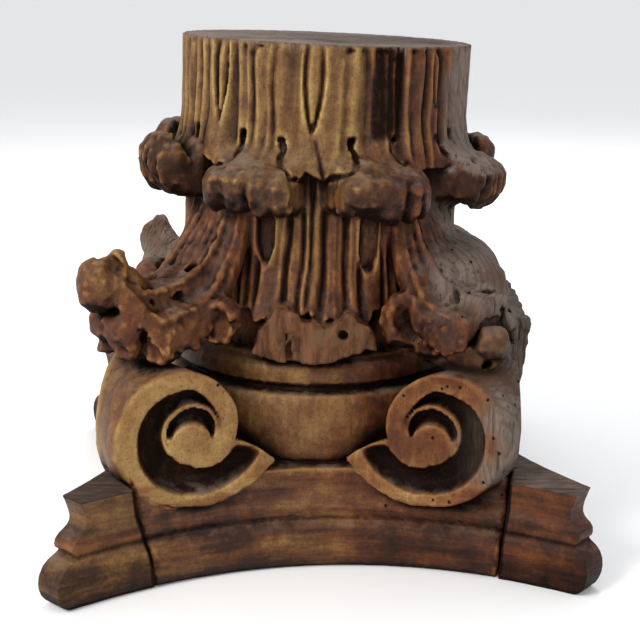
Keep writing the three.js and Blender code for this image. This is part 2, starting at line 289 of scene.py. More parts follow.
def lens(table, azimuth, half, low, high, deep, bud):
    """A pointed slot between two leaves, with a bud in it."""
    height = (ZT - low) / (high - low)
    width = half * np.clip(np.sin(np.clip(height, 0, 1.25) * 2.35), 0, 1) ** 0.85 + 1e-3
    share = np.abs(nearest_turn(AZ, azimuth)) / width
    inside = (height > 0) & (share < 1)
    floor = deep * (1 - share ** 4) * smooth(height, 0, 0.12)
    swell = bud * hump(share, 0.6, 4) * smooth(height, 0.02, 0.2)
    swell = swell * (1 - 0.6 * smooth(height, 0.7, 1))
    return np.where(inside, table - floor + swell, table)


UPPER_GROOVES = [
    (-75, 1.8, 1.4), (-69, 2, 1.3), (-62.1, 2.6, 1.5), (-56.8, 1.1, 1.1), (-52.3, 2.6, 1.6),
    (-37.6, 4.6, 2.7), (-31.4, 0.6, 1.0), (-28.1, 1.8, 1.2), (-22.8, 1.1, 1.0), (-19.6, 2.1, 1.2),
    (-11.4, 2.8, 2.3), (3.4, 0.7, 1.0), (7.4, 1.9, 1.3), (15.4, 4.2, 3.0), (21.6, 0.8, 1.0),
    (25.2, 1.0, 1.1), (29.6, 3.4, 2.2), (34.2, 1.2, 1.0), (41.6, 2.4, 1.4), (46.2, 0.7, 0.9),
    (50.6, 2.8, 1.3), (57.3, 2.8, 1.6), (63.5, 1.6, 1.3), (70, 2, 1.4),
]
LOWER_GROOVES = [
    (-70, 2.5, 1.4), (-64, 2, 1.2), (-58.2, 3, 1.4), (-49, 2.6, 1.2), (-43.9, 3, 1.2), (-38.3, 2.5, 1.1),
    (-33.2, 2.2, 1.0), (-29.4, 1.2, 0.9), (-16.5, 0.6, 0.8), (-12.5, 3.6, 1.4), (-9.6, 0.5, 0.7),
    (-6.9, 2.8, 1.2), (-3.8, 2.2, 0.9), (1.5, 3.8, 1.5), (4.4, 0.6, 0.8), (7.3, 0.9, 0.9), (10.2, 4.2, 1.9),
    (13.6, 1, 0.9), (26.4, 2.2, 0.9), (29.8, 1.2, 1.0), (35.2, 3, 1.5), (40.5, 2.4, 1.1), (44.6, 2.2, 1.0),
    (51.4, 3, 1.4), (59.9, 2.2, 1.3), (67, 2, 1.3),
]
for azimuth in np.arange(77, 284, 6.6):
    UPPER_GROOVES.append((azimuth + chance.uniform(-1, 1), chance.uniform(1.8, 3.2), 1.3))
    LOWER_GROOVES.append((azimuth + chance.uniform(-1, 1), chance.uniform(1.8, 3), 1.3))

upper = folds(86.4, UPPER_GROOVES, 0.5)
upper = lens(upper, -4.6, 4.6, 249, 302, 6.5, 5.2)
upper = lens(upper, -43.4, 3.4, 252, 304, 5.5, 4.6)
for azimuth in (45, 90, 135, 180, -135, -90):
    upper = lens(upper, azimuth + (3 if azimuth == 45 else 0), 3.6, 262, 300, 4.5, 3.2)
panel = band(AZ, 17.6, 18.8, 30.2, 31.4) * smooth(ZT, 246, 252)
upper -= 1.6 * panel
upper += 1.2 * fall(ZT, 228, 246)

# height of the lower edge of the upper row, then the keyhole notches beside the tips
UPPER_EDGE = [
    (-180, 230), (-160, 234), (-148, 229), (-125, 233), (-112, 229), (-98, 234), (-84, 229), (-72, 233),
    (-60, 232), (-54.6, 235.7), (-39.3, 230), (-35.2, 238), (-30, 238), (-23, 232), (-17.5, 238),
    (-15.2, 241), (-14.2, 233.6), (-9.1, 227), (-6, 231.4), (-3, 228), (-0.1, 226.2), (2.7, 227.6),
    (8, 231), (10.4, 235), (13, 236), (17.5, 231), (23.4, 231.9), (28, 237.5), (34, 236.9), (41.9, 230.4),
    (50.8, 232.2), (60.1, 233.8), (72, 230), (84, 234), (98, 229), (112, 233), (125, 229), (140, 234),
    (160, 230), (180, 230),
]
KEYHOLES = [
    # azimuth, height of the top, half width, slant
    (-31.8, 250.8, 2.2, 0.04), (-15.6, 248, 1.6, -0.1), (10.6, 249.6, 2.3, 0.1), (28.4, 250, 1.7, -0.1),
    (-58, 250, 2, 0.1), (-76, 251, 2, -0.1), (59, 252, 2, 0.1), (76, 250, 2, -0.1),
]
HIDDEN_TIPS = (112.5, 157.5, -157.5, -112.5)
KEYHOLES += [(azimuth + off, 250, 2, off * 0.015) for azimuth in HIDDEN_TIPS for off in (-9, 9)]
edge = np.interp(AZ[:, 0], *zip(*UPPER_EDGE))[:, None] + 0 * ZT
edge = edge - ZT
gap = np.full(edge.shape, 99.0)
for azimuth, top, half, slant in KEYHOLES:
    side = nearest_turn(AZ, azimuth) * 1.52 + slant * (top - ZT) + 0.7 * np.sin((top - ZT) / 3.4)
    round_top = half - np.hypot(side, np.maximum(ZT - (top - half), 0))
    waist = half * (0.55 + 0.45 * smooth(ZT, top - 12, top - 3)) - np.abs(side)
    edge = np.maximum(edge, np.where(ZT < top - half, waist, round_top))
    gap = np.minimum(gap, np.abs(side) + 2 * np.maximum(ZT - top, 0))
# each leaf end between two keyholes swells forward and rolls in at its sides
forward = 3.0 * smooth(gap, 1.0, 7.5) * fall(ZT, 234, 260)
rolled = 0.8 * fall(gap, 1.5, 3.5) * fall(ZT, 250, 262)
upper += forward - rolled

lower = folds(83.6, LOWER_GROOVES, 0.5)
for azimuth, half, low in ((-21.9, 3.7, 175), (20.2, 4.2, 172), (-64, 3.4, 178), (66, 3.4, 178)):
    across = np.abs(nearest_turn(AZ, azimuth))
    narrow = half * (0.35 + 0.65 * smooth(ZT, low - 2, low + 14))
    lower -= 7.5 * fall(across, narrow - 0.7, narrow + 0.4) * smooth(ZT, low - 1.5, low + 3)
for azimuth in HIDDEN_TIPS:
    across = np.abs(nearest_turn(AZ, azimuth))
    lower -= 5.5 * fall(across, 2.4, 3.6) * smooth(ZT, 174, 182)
middle = band(AZ, -28, -24, 15.5, 18.5)
flare = np.clip((178 - ZT) / 28, 0, 1.2) ** 1.8
lower += middle * 9.5 * flare
lower += (1 - middle) * 4 * flare
for azimuth in (-24.6, 16.6):
    across = np.abs(nearest_turn(AZ, azimuth + 0.02 * (ZT - 160) * np.sign(azimuth)))
    lower -= 5 * hump(across, 1.4) * fall(ZT, 172, 184)
lower_edge = np.interp(
    AZ[:, 0],
    [-180, -60, -28, -26, -22, -18, -14, -9, -3, 2, 8, 12, 15, 18, 22, 60, 180],
    [150, 150, 148, 150, 143, 146, 151, 146, 150, 145, 148, 141, 144, 138, 150, 150, 150],
)[:, None] - ZT


def on_bell(radius, edge_table, top):
    def shape(x, y, z):
        azimuth = np.degrees(np.arctan2(x, -y)) + 0 * z
        height = z + 0 * azimuth

        def look(table):
            return sampled(table, azimuth, height, -180, TABLE_FOOT, AZ_STEP)
        body = (np.hypot(x, y) - look(radius)) * 0.85
        return inside_both(np.maximum(body, z - top), look(edge_table), 1.2)
    return shape


CORE = [
    (0, 20), (88, 20), (92, 57), (92.6, 60), (94.8, 63), (96.8, 74), (97, 84), (96, 94), (94, 99.5),
    (92.6, 101.2), (86.5, 102.6), (86, 105), (88.5, 105.6), (91.2, 108), (92, 113), (91.4, 117),
    (89.4, 119.6), (86.4, 120.6), (86, 122.6), (80, 124), (79, 244), (0, 244),
]
add(*middle_box(100, 15, 250), turned(CORE), 0)
add(*middle_box(104, 136, 250), on_bell(lower, lower_edge, 247), 0.8)
add(*middle_box(95, 218, TABLE_TOP), on_bell(upper, edge, 301), 0.6)

# ---------------------------------------------------------------- curled tips
CURL_ROOT, CURL_HALF, CURL_MIDDLE = 84, 27, 98
CURLS = [
    (-157.5, 225, 1), (-112.5, 226, 0.97), (-67.5, 225, 1), (-24.6, 221, 0.98),
    (20.5, 221, 1.02), (67.5, 223, 1.07), (112.5, 224, 1), (157.5, 226, 1),
]
HOOK = [
    (-10, 18), (3.7, 16.1), (8, 10), (11.2, 5.7), (14, 12), (16.2, 17.6), (20, 18.6), (24.4, 17.4),
    (28, 13), (29.9, 9.4), (31, 1), (29.6, -6), (27, -11), (22, -16.4), (18, -18), (12, -18), (6.2, -19),
    (-10, -17),
]
DOME = [
    (-10, 24), (1, 19.6), (7, 16.6), (14, 14.2), (21, 11), (26.4, 7.4), (29.4, 3.6), (29.2, 0), (28.8, -5),
    (27.2, -9.6), (24.4, -14), (20.4, -17), (17, -18.4), (13.4, -15), (9, -14.4), (4, -16.4), (-10, -17),
]
HOOK_LOW, HOOK_HIGH = (-12, -30), (45, 30)
hooks = {"hook": outline_table(HOOK, HOOK_LOW, HOOK_HIGH), "dome": outline_table(DOME, HOOK_LOW, HOOK_HIGH)}


def curl(azimuth, centre, growth, kind, flutes, phase):
    def shape(x, y, z):
        a, t = out_and_aside(azimuth, x, y)
        a, t = a - CURL_ROOT, t / (CURL_HALF * growth)
        round_off = 0.7 + 0.3 * np.clip(1 - np.abs(t) ** 4, 0, 1)
        cut = 0 * t
        for place, deep, width in flutes:
            cut = np.maximum(cut, deep * hump(t - place, width))
        low = smooth(centre + 9 - z, 0, 14)
        swell = growth * round_off * (1 - cut * (0.35 + 0.65 * low))
        raised = z - centre - 1.6 * np.sin(2.2 * t + phase) - 1.2 * low * np.abs(np.sin(2.3 * t + phase))
        flat = sampled(hooks[kind], a / swell, raised / swell, *HOOK_LOW)
        return inside_both(flat * swell * 0.9, (np.abs(t) - 1) * CURL_HALF * growth + 0 * z, 3.5)
    return shape


FLUTES = {
    -24.6: [(-0.48, 0.12, 0.16), (0.12, 0.17, 0.1), (0.62, 0.13, 0.14)],
    20.5: [(-0.5, 0.1, 0.2), (0.36, 0.18, 0.1), (0.7, 0.1, 0.07)],
    67.5: [
        (-0.7, 0.16, 0.07), (-0.38, 0.2, 0.08), (-0.05, 0.15, 0.08), (0.3, 0.16, 0.07), (0.62, 0.14, 0.08),
    ],
}
PLAIN_FLUTES = [(-0.6, 0.15, 0.1), (-0.14, 0.13, 0.09), (0.24, 0.15, 0.09), (0.64, 0.14, 0.1)]
for number, (azimuth, centre, growth) in enumerate(CURLS):
    kind, blend = ("dome", 6) if -30 < azimuth < 70 else ("hook", 2.5)
    flutes = FLUTES.get(azimuth, PLAIN_FLUTES)
    tip = curl(azimuth, centre, growth, kind, flutes, 0.7 * number)
    add(*around(azimuth, CURL_MIDDLE, centre, 40), tip, blend)
# the curl low on the left side
add(*around(-90, CURL_MIDDLE, 140, 40), curl(-90, 140, 1.1, "hook", PLAIN_FLUTES, 0.4), 2)
# the dark hole bored under the left curl, and the pit in the right one
carve(*around(-60, 108, 212, 14), ellipsoid(-60, 110, 212, (5, 3.6, 4.5)), 1)
carve(*around(58, 104, 236, 14), ellipsoid(58, 106, 237, (4, 3.2, 2.4)), 1)

# the leaf ends are undercut: their outlines run down from the keyholes as dark cuts
LEAF_ENDS = [
    # half width of the cut, then its path as azimuth and height
    (1.6, [(-31.5, 250.8), (-32, 244), (-32.5, 236), (-35.3, 233.1), (-40.7, 229), (-47.7, 226)]),
    (1.4, [
        (-16.7, 247.2), (-14.8, 245.4), (-14.5, 241.5), (-15.7, 237.5), (-14.3, 233.7), (-11.7, 231.2),
        (-9.6, 227.5), (-7, 225.7),
    ]),
    (1.5, [
        (10.7, 248.9), (9.3, 246.2), (11.3, 239.9), (10.9, 236), (8.7, 232.8), (5.8, 231.1), (3.4, 228.3),
        (1, 225.4),
    ]),
    (1.0, [(26.4, 249), (25.9, 242), (27.4, 237.6), (29.1, 235.4), (31.8, 236.5)]),
    (1.2, [(47.4, 249.3), (50.3, 239.9), (51.5, 235.6), (49.2, 230.1), (43.6, 227.5), (37, 227.4)]),
    (0.8, [(-3, 247), (-1.6, 239.5), (-0.5, 232.4), (0.2, 227)]),
]


def skin_at(azimuth, z):
    """How far out from the axis the surface lies."""
    reach = np.arange(80.0, 118, 0.4)
    line = np.stack([way(azimuth)[0] * reach, way(azimuth)[1] * reach, np.full(len(reach), z)], axis=1)
    inside = grid_value(field, line, STEP) < 0
    return reach[inside].max() if inside.any() else 88.0


# ---------------------------------------------------------------- corner leaves
LEAF_PATH = np.array([
    # distance from the axis, height, half width, droop of the margins
    (78, 236, 22, 6), (82, 221, 24, 8), (88, 204, 26.5, 10), (94, 192.5, 27.5, 12), (101, 184, 28.5, 15),
    (110, 176, 30, 21), (120, 171, 31, 26), (130, 168.6, 30.5, 28), (140, 168, 28, 28),
    (147, 169.6, 24.5, 22), (154, 173, 20, 14), (163, 180, 12, 6),
])


def sheet_outline(thickness):
    top = [(r, z) for r, z, _, _ in LEAF_PATH]
    under = []
    for k, (r, z) in enumerate(top):
        before, after = top[max(0, k - 1)], top[min(len(top) - 1, k + 1)]
        dr, dz = after[0] - before[0], after[1] - before[1]
        length = math.hypot(dr, dz)
        under.append((r + dz / length * thickness, z - dr / length * thickness))
    return top + under[::-1]


SHEET_LOW, SHEET_THICKNESS = (50, 100), 14
sheet = outline_table(sheet_outline(SHEET_THICKNESS), SHEET_LOW, (200, 250))


def corner_leaf(azimuth, sag, end):
    def shape(x, y, z):
        a, t = out_and_aside(azimuth, x, y)
        half = np.interp(a, LEAF_PATH[:, 0], LEAF_PATH[:, 2])
        droop = np.interp(a, LEAF_PATH[:, 0], LEAF_PATH[:, 3])
        share = np.abs(t) / half
        along = band(a, 98, 112, 143, 154)
        flow = share + 0.05 * np.sin(a / 9.0)
        relief = 1.2 * hump(flow - 0.41, 0.05)
        relief -= 4.6 * along * hump(flow - 0.58, 0.1)
        relief += 0.9 * hump(flow - 0.8, 0.04) - 1.2 * hump(flow - 0.9, 0.03)
        relief -= 3.2 * hump(share, 0.26) * along
        veins = np.sin(flow * 34 + 0.6 * np.sin(a / 6.0)) * fall(a, 100, 122)
        relief += 0.8 * veins
        lowered = z + sag * (a - 80) / 84 + droop * share ** 2 - relief
        flat = sampled(sheet, a + 0 * z, lowered, *SHEET_LOW)
        body = inside_both(flat * 0.8, np.abs(t) - half + 0 * z, 5)
        return inside_both(body, a - end + 0 * z, 4)
    return shape


def on_leaf(azimuth, sag, a, share, lift=0.0):
    """A point on the top of a corner leaf, a mm out along it and a share of its width aside."""
    out, side = way(azimuth), way(azimuth + 90)
    half, droop, top = (np.interp(a, LEAF_PATH[:, 0], LEAF_PATH[:, k]) for k in (2, 3, 1))
    t = share * half
    z = top - sag * (a - 80) / 84 - droop * share ** 2 + lift
    return out[0] * a + side[0] * t, out[1] * a + side[1] * t, z


def rod(path):
    """A bar of changing thickness through points (x, y, z, radius), with its box."""
    path = np.array(path, dtype=np.float64)
    reach = path[:, 3].max() + 8

    def shape(x, y, z):
        nearest = 99.0
        for start, finish in zip(path[:-1], path[1:]):
            dx, dy, dz = finish[:3] - start[:3]
            ax, ay, az_ = x - start[0], y - start[1], z - start[2]
            share = np.clip((ax * dx + ay * dy + az_ * dz) / (dx * dx + dy * dy + dz * dz), 0, 1)
            off = np.sqrt((ax - share * dx) ** 2 + (ay - share * dy) ** 2 + (az_ - share * dz) ** 2)
            nearest = np.minimum(nearest, off - start[3] - share * (finish[3] - start[3]))
        return nearest
    return path[:, :3].min(0) - reach, path[:, :3].max(0) + reach, shape


def shield(centre, facing, size, bowl=0.0, power=2.6, narrow=0.2, tilt=0.0):
    """A squarish leaf lobe with a hollow face: size is depth, half width and half height."""
    reach = max(size) + 8
    c, s = math.cos(math.radians(tilt)), math.sin(math.radians(tilt))

    def shape(x, y, z):
        f, t = out_and_aside(facing, x - centre[0], y - centre[1])
        u = z - centre[2]
        f, u = f * c + u * s, u * c - f * s
        t = t / (1 + narrow * np.clip(u / size[2], -1, 1))
        deep, wide, tall = size
        norm = np.abs(f / deep) ** power + np.abs(t / wide) ** power + np.abs(u / tall) ** power
        body = (norm ** (1 / power) - 1) * min(size) * 0.95
        if bowl:
            wide, tall = wide - 2.6, tall - 2.8
            sunk = np.sqrt(((f - deep) / bowl) ** 2 + (t / wide) ** 2 + ((u + 0.5) / tall) ** 2)
            body = inside_both(body, (1 - sunk) * min(bowl, wide), 1.2)
        return body
    return np.array(centre) - reach, np.array(centre) + reach, shape


def leaf_edges(azimuth, sag, side, last):
    """Raised ridges, pits and the cavity on one side of a corner leaf."""
    lift = 0.2
    for share, low, radius in ((0.41, 90, 2.0), (0.82, 100, 1.7)):
        path = []
        for a in np.arange(low, last, 4):
            aside, raised = side * (share - 0.05 * math.sin(a / 9.0)), lift + 0.5 * math.sin(a / 5 + share)
            path.append((*on_leaf(azimuth, sag, a, aside, raised), radius))
        add(*rod(path), 1.4)
    for a, share, length, wide in ((129, 0.53, 7, 2.6), (145, 0.55, 4, 2.1)):
        if a < last:
            here = on_leaf(azimuth, sag, a, side * share, -0.4)
            beside = on_leaf(azimuth, sag, a - length, side * (share + 0.02), -0.4)
            deep = on_leaf(azimuth, sag, a - length / 2, side * (share - 0.16), -6)
            carve(*rod([(*here, wide * 0.7), (*beside, wide)]), 1.0)
            carve(*rod([(*beside, wide * 0.8), (*deep, wide * 0.8)]), 1.0)
    if azimuth == -45 and side > 0:
        start, finish = on_leaf(azimuth, sag, 112, 0.24, 2), on_leaf(azimuth, sag, 105, 0.18, -14)
        carve(*rod([(*start, 4.4), (*finish, 3.2)]), 0.8)


def at(azimuth, r, z):
    out = way(azimuth)
    return out[0] * r, out[1] * r, z


def bar(*stops):
    """A rod whose stops are azimuth, distance from the axis, height and radius."""
    return rod([(*at(azimuth, r, z), radius) for azimuth, r, z, radius in stops])


def ball(place, radius):
    return rod([(*place, radius), (place[0] + 0.5, place[1], place[2], radius)])


cuts_under = [
    (bar(*[(azimuth, skin_at(azimuth, z) - 0.3, z, width) for azimuth, z in path]), width)
    for width, path in LEAF_ENDS
]
for (low, high, shape), width in cuts_under:
    carve(low, high, shape, 0.5)

LEAF_LOBES = [
    # degrees aside, distance, height, turn back, size, bowl, squareness, narrowing, blend
    (15.1, 109, 145.5, 0, (9.5, 11, 13.5), 6, 2.6, 0.1, 1.6),
    (7.5, 138.5, 137, 4, (11, 9, 11.5), 3.2, 3.4, 0.05, 1.6),
    (2.3, 156, 146, 10, (11, 10.5, 10.5), 0, 2.2, 0.1, 2.0),
    (3.2, 154, 135, 6, (9, 7, 7), 2, 2.4, 0.1, 1.2),
]
for azimuth, sag in ((-45, 0), (-135, 22)):
    y_low, y_high = (-143, -20) if azimuth == -45 else (20, 143)
    add((-143, y_low, 100), (-20, y_high, 245), corner_leaf(azimuth, sag, 164), 3)
    out, side = way(azimuth), way(azimuth + 90)
    for sign in (-1, 1):
        leaf_edges(azimuth, sag, sign, 150)
        facing = azimuth + sign * 30
        drop = -sag / 2
        add(*bar((azimuth + sign * 10, 112, 150 + drop, 8), (azimuth + sign * 1, 150, 147 + drop, 9)), 3)
        add(*bar((azimuth + sign * 5, 134, 138 + drop, 7), (azimuth + sign * 1, 152, 137 + drop, 7)), 2)
        for aside, r, z, turned_back, size, bowl, power, narrow, blend in LEAF_LOBES:
            centre = at(azimuth + sign * aside, r, z + drop)
            add(*shield(centre, facing - sign * turned_back, size, bowl, power, narrow), blend)
    # the tip turns over in two lobes with a deep slit between them
    def tip(a, t, z):
        return out[0] * a + side[0] * t, out[1] * a + side[1] * t, z - sag
    add(*shield(tip(168.5, -1.5, 170), azimuth + 20, (11.5, 11.5, 15), 0, 2.1, 0.1), 4)
    add(*rod([(*tip(140, 0, 164), 6), (*tip(156, 1, 178), 6.4), (*tip(159, 3, 184), 6)]), 5)
    carve(*rod([(*tip(167, 3, 190), 2.4), (*tip(163, 6, 182), 3.4), (*tip(158, 11, 176), 2.4)]), 0.8)
add((20, -143, 100), (130, -20, 245), corner_leaf(45, 0, 141), 3)
leaf_edges(45, 0, -1, 130)
add(*shield(at(30.6, 103, 147), 16, (9, 15.2, 16), 7, 2.3, 0.05, 8), 2.0)
add(*shield(at(38.5, 129, 141), 28, (9, 11, 9.5), 3, 2.8, 0.1), 3.5)
add(*bar((34.5, 116, 131, 8), (39.5, 134, 129, 9), (43, 143, 130, 7)), 6)
KNOB = at(42.3, 146, 140)
add(*ball(KNOB, 9.8), 1.5)
add(*ball(at(44, 148, 136), 6.5), 2)
carve(*bar((37.6, 150, 144, 1.6), (39.6, 156, 137, 1.2)), 1.5)
carve(*bar((31, 120, 124.5, 6), (32.5, 138, 125, 6.5)), 4)
carve(*bar((36.5, 126, 136, 6.4), (37.5, 112, 134, 6)), 1.5)
carve(*bar((35.3, 124, 147, 3), (36, 104, 146, 2.4)), 0.8)
# broken ledges and two hollows in the raw lump behind
carve(*bar((51.2, 134, 163, 4.4), (46, 130, 162.5, 2.6), (48, 122, 161, 3)), 1)
carve(*bar((52, 137, 151, 3.4), (48, 132, 150.5, 2.2)), 1)
for step in range(4):
    turn = 38 + 3 * step
    carve(*bar(
        (turn, 122 + 3 * step, 171 - 2 * step, 1.6), (turn + 2, 124 + 4 * step, 163 - 2 * step, 2.2),
        (turn + 5, 128 + 4 * step, 157 - 1.5 * step, 1.4),
    ), 1)
carve(*bar((41, 150, 128, 3.4), (43, 138, 126, 3)), 1)

# ---------------------------------------------------------------- abacus
MOULD_Z = [share * ABACUS_HEIGHT for share, _ in MOULDING]
MOULD_IN = [inset for _, inset in MOULDING]


def abacus(grown=0.0):
    def shape(x, y, z):
        inset = np.interp(z, MOULD_Z, MOULD_IN)
        worst = None
        reach, cut = HORN_REACH / math.sqrt(2), HORN_END_WIDTH / 2 / math.sqrt(2)
        bend = (reach + cut - ABACUS_WAIST) / (reach - cut) ** 2
        for quarter in range(4):
            turn = math.radians(quarter * 90 + ABACUS_TURN)
            c, s = math.cos(turn), math.sin(turn)
            px, py = x * c + y * s, -x * s + y * c
            side = (-py - ABACUS_WAIST - bend * px * px) / np.sqrt(1 + (2 * bend * px) ** 2)
            worst = side if worst is None else np.maximum(worst, side)
        return np.maximum(np.maximum(worst + inset - grown, z - ABACUS_HEIGHT - grown), -z)
    return shape


def beyond_joint(horn, gap=0.0, rough=1.0):
    _, _, azimuth, foot, head = HORNS[horn]
    out = way(azimuth)

    def shape(x, y, z):
        near = foot + (head - foot) * z / ABACUS_HEIGHT + gap
        ragged = 0.35 * np.sin(z / 5.1) + 0.3 * np.sin((x - y) / 7.3) + 0.25 * np.sin((x + 2 * y) / 4.1)
        return near - (x * out[0] + y * out[1]) + ragged * rough
    return shape


add(LOW, (143, 143, 66), abacus(), 0)

# ---------------------------------------------------------------- rough block at the right and back
REACH = 131.5
BLANK = [
    (60, -48), (REACH, -48), (REACH, REACH - 14), (REACH - 14, REACH - 6),
    (-48, REACH - 6), (-48, 60), (60, 60),
]
ROUGH = [
    # azimuth, distance from the axis, height, size of each lump
    (54, 102, 153, (33, 28, 32)), (92, 84, 150, (34, 44, 32)), (135, 104, 146, (42, 46, 30)),
    (180, 86, 150, (34, 40, 34)),
]


def blank(x, y, z):
    plan = polygon_distance(x, y, BLANK)
    taper = 6 * (140 - z) / 84
    return inside_both(np.maximum(plan + taper, 56 - z), z - 138 - 2 * np.sin(x / 19) * np.sin(y / 23), 3)


add((-60, -60, 50), (143, 143, 146), blank, 1)
for azimuth, r, z, size in ROUGH:
    add(*around(azimuth, r, z, 60), ellipsoid(azimuth, r, z, size), 7)

carve(*around(62, 126, 152, 22), ellipsoid(60, 128, 153, (8, 9, 5), 20), 2)
carve(*around(50, 122, 138, 22), ellipsoid(50, 128, 136, (9, 7, 5)), 2)

# ---------------------------------------------------------------- volutes
EYE_HEIGHT, STRIP_REACH, STRIP_HALF, EYE_INSET, EYE_RADIUS = 82.0, 163.5, 12.5, 41.3, 13.0
FACE_TURN = math.radians(29.4)
SPIRAL = [56, 44, 38.5, 39.5, 41.5, 43, 42, 34, 26, 20, 14]
SPIRAL_TURNS = [45 * k for k in range(len(SPIRAL))]
RIDGE_TURNS = [0, 150, 180, 225, 270, 300, 322, 345, 360]
RIDGE_RADII = [13, 13, 14.5, 18.5, 21.5, 21, 18.5, 14, 13]


def scroll(corner, carved, trimmed=False, measure=""):
    """A corner volute between its strip's edge and its two spiral faces, of which some are carved."""
    cos, sin = math.cos(FACE_TURN), math.sin(FACE_TURN)

    def shape(x, y, z):
        _, across = out_and_aside(corner, x, y)
        front = smooth(-np.sign(corner) * across, -12, 12) * {-45: 9, 45: 6}.get(corner, 0)
        along, across = out_and_aside(corner, x, y + front)
        ahead = STRIP_REACH - along
        beside = np.abs(across) - STRIP_HALF
        inset = ahead * cos + beside * sin
        depth = ahead * sin - beside * cos
        loft = ahead / cos
        drop = EYE_HEIGHT - z
        turn = np.degrees(np.arctan2(drop, loft - EYE_INSET)) % 360
        limit = np.interp(turn, [0, 16] + SPIRAL_TURNS[1:9], [26, 52] + SPIRAL[1:9])
        outline = (np.hypot(drop, loft - EYE_INSET) - limit) * 0.92
        body = inside_both(outline, -depth + 0 * z, 2.2)
        radius = np.hypot(drop, inset - EYE_INSET)
        turn = np.degrees(np.arctan2(drop, inset - EYE_INSET)) % 360
        outer = np.interp(turn, [0] + SPIRAL_TURNS[1:9], [54] + SPIRAL[1:9])
        rim = 11 - 3 * np.maximum(0, np.sin(np.radians(turn)))
        closing = smooth(turn, 270, 322)
        ridge_line = np.interp(turn, RIDGE_TURNS, RIDGE_RADII)
        outer = (outer - rim) * (1 - closing) + (ridge_line + 1.5) * closing
        first = np.maximum(EYE_RADIUS, np.interp(turn, [0, 45, 90, 91], [26, 20, 14, 13]))
        inner = np.where(turn < 150, first, ridge_line + 1)
        share = (radius - inner) / np.maximum(outer - inner, 0.5)
        hollow = 10.5 * np.clip(1 - (2 * share - 1) ** 2, 0, 1) ** 0.5 * smooth(turn, 4, 22)
        hollow = hollow * fall(turn, 316, 326)
        near_ridge = band(turn, 160, 200, 318, 345)
        hollow = np.maximum(hollow, 2.6 * near_ridge * hump(radius - ridge_line, 2.2))
        span = np.maximum(ridge_line - 1.2 - (EYE_RADIUS - 1.5), 0.6)
        middle = (radius - (EYE_RADIUS - 1.5)) / span
        crescent = 9.5 * np.clip(1 - (2 * middle - 1) ** 2, 0, 1) ** 0.5 * band(turn, 188, 205, 338, 350)
        hollow = np.maximum(hollow, crescent)
        hollow = hollow - 0.8 * hump(radius, 9, 4)
        if measure:
            # how deep the channel is here, or -1 on the flat of the rim
            here = np.isin(np.sign(across), carved)
            if measure == "front":
                return np.where(here, np.maximum(outline + 0.6, depth - np.maximum(hollow, 0)), 9.0)
            sunk = np.where(hollow < 0.5, -1.0, hollow)
            return sunk * (np.abs(depth - hollow) < 3.5) * (outline < 1) * here
        for sign in carved:
            here = np.sign(across) == sign
            body = np.where(here, inside_both(body, (hollow - depth) * 0.8, 1.2), body)
        if trimmed:
            saw = np.minimum(np.minimum(x - 118, -48 - y), np.minimum(z - 61, 132 - z))
            body = np.maximum(body, np.where(saw > 0, saw, -40))
        return body
    return shape


VOLUTES = ((-135, (1,), False), (-45, (1, -1), False), (135, (), False), (45, (-1,), True))
for corner, carved, trimmed in VOLUTES:
    out = way(corner)
    low = [min(out[0] * 60, out[0] * 190) - 60, min(out[1] * 60, out[1] * 190) - 60, 30]
    high = [max(out[0] * 60, out[0] * 190) + 60, max(out[1] * 60, out[1] * 190) + 60, 140]
    if carved and abs(corner) < 90:
        carve(low, high, scroll(corner, carved, trimmed, "front"), 0.4)
    add(low, high, scroll(corner, carved, trimmed), 0.8)

# ---------------------------------------------------------------- the broken root of the middle leaf tip
SCAR = [
    (-36, 126), (-33, 139), (-29, 144), (-25, 154), (-16, 155), (-12, 150), (-9, 146.5), (-4, 146),
    (-1, 148), (2, 145.5), (9, 145.6), (13, 148), (17, 151.5), (21, 150), (24, 147), (30, 143), (34, 138),
    (35, 130), (24, 129.6), (18, 126.6), (10, 122.8), (2, 122), (-20, 122),
]


def scar(x, y, z):
    outline = polygon_distance(x, z, SCAR)
    face = -(y + 95.5 + 3.2 * np.cos(x / 26) + 0.9 * np.sin(x / 3.3) + 0.07 * (z - 140))
    step = 2.4 * smooth(x, -9, -7) - 1.6 * smooth(x, 19, 20.5)
    return inside_both(outline, face - step, 1.0)


add((-45, -106, 116), (45, -50, 160), scar, 0.8)


def trench(ax, az_, bx, bz, half, deep):
    """An open crack seen from the front, from one (x, z) to another."""
    def shape(x, y, z):
        ex, ez = bx - ax, bz - az_
        share = np.clip(((x - ax) * ex + (z - az_) * ez) / (ex * ex + ez * ez), 0, 1)
        off = np.hypot(x - ax - share * ex, z - az_ - share * ez)
        return np.maximum(off - half, deep - (-y)) + 0 * y
    return shape


carve((-30, -110, 115), (0, -80, 155), trench(-17.5, 146, -15, 123, 0.9, 92), 0.3)
carve((5, -110, 130), (25, -80, 150), ellipsoid(9.2, 101, 139.5, (6, 3.2, 2.8)), 0.5)

for horn in HORNS:
    out = way(HORNS[horn][2])
    cuts, x, y, z = room(LOW, (143, 143, 64))
    glued = smooth(-abacus()(x, y, z), 3, 6)
    joint = beyond_joint(horn, -0.6 + 1.2 * glued, 1 - glued)(x, y, z)
    seat = np.maximum(abacus(JOINT_GAP)(x, y, z), joint)
    field[cuts] = np.maximum(field[cuts], -seat.astype(np.float32))

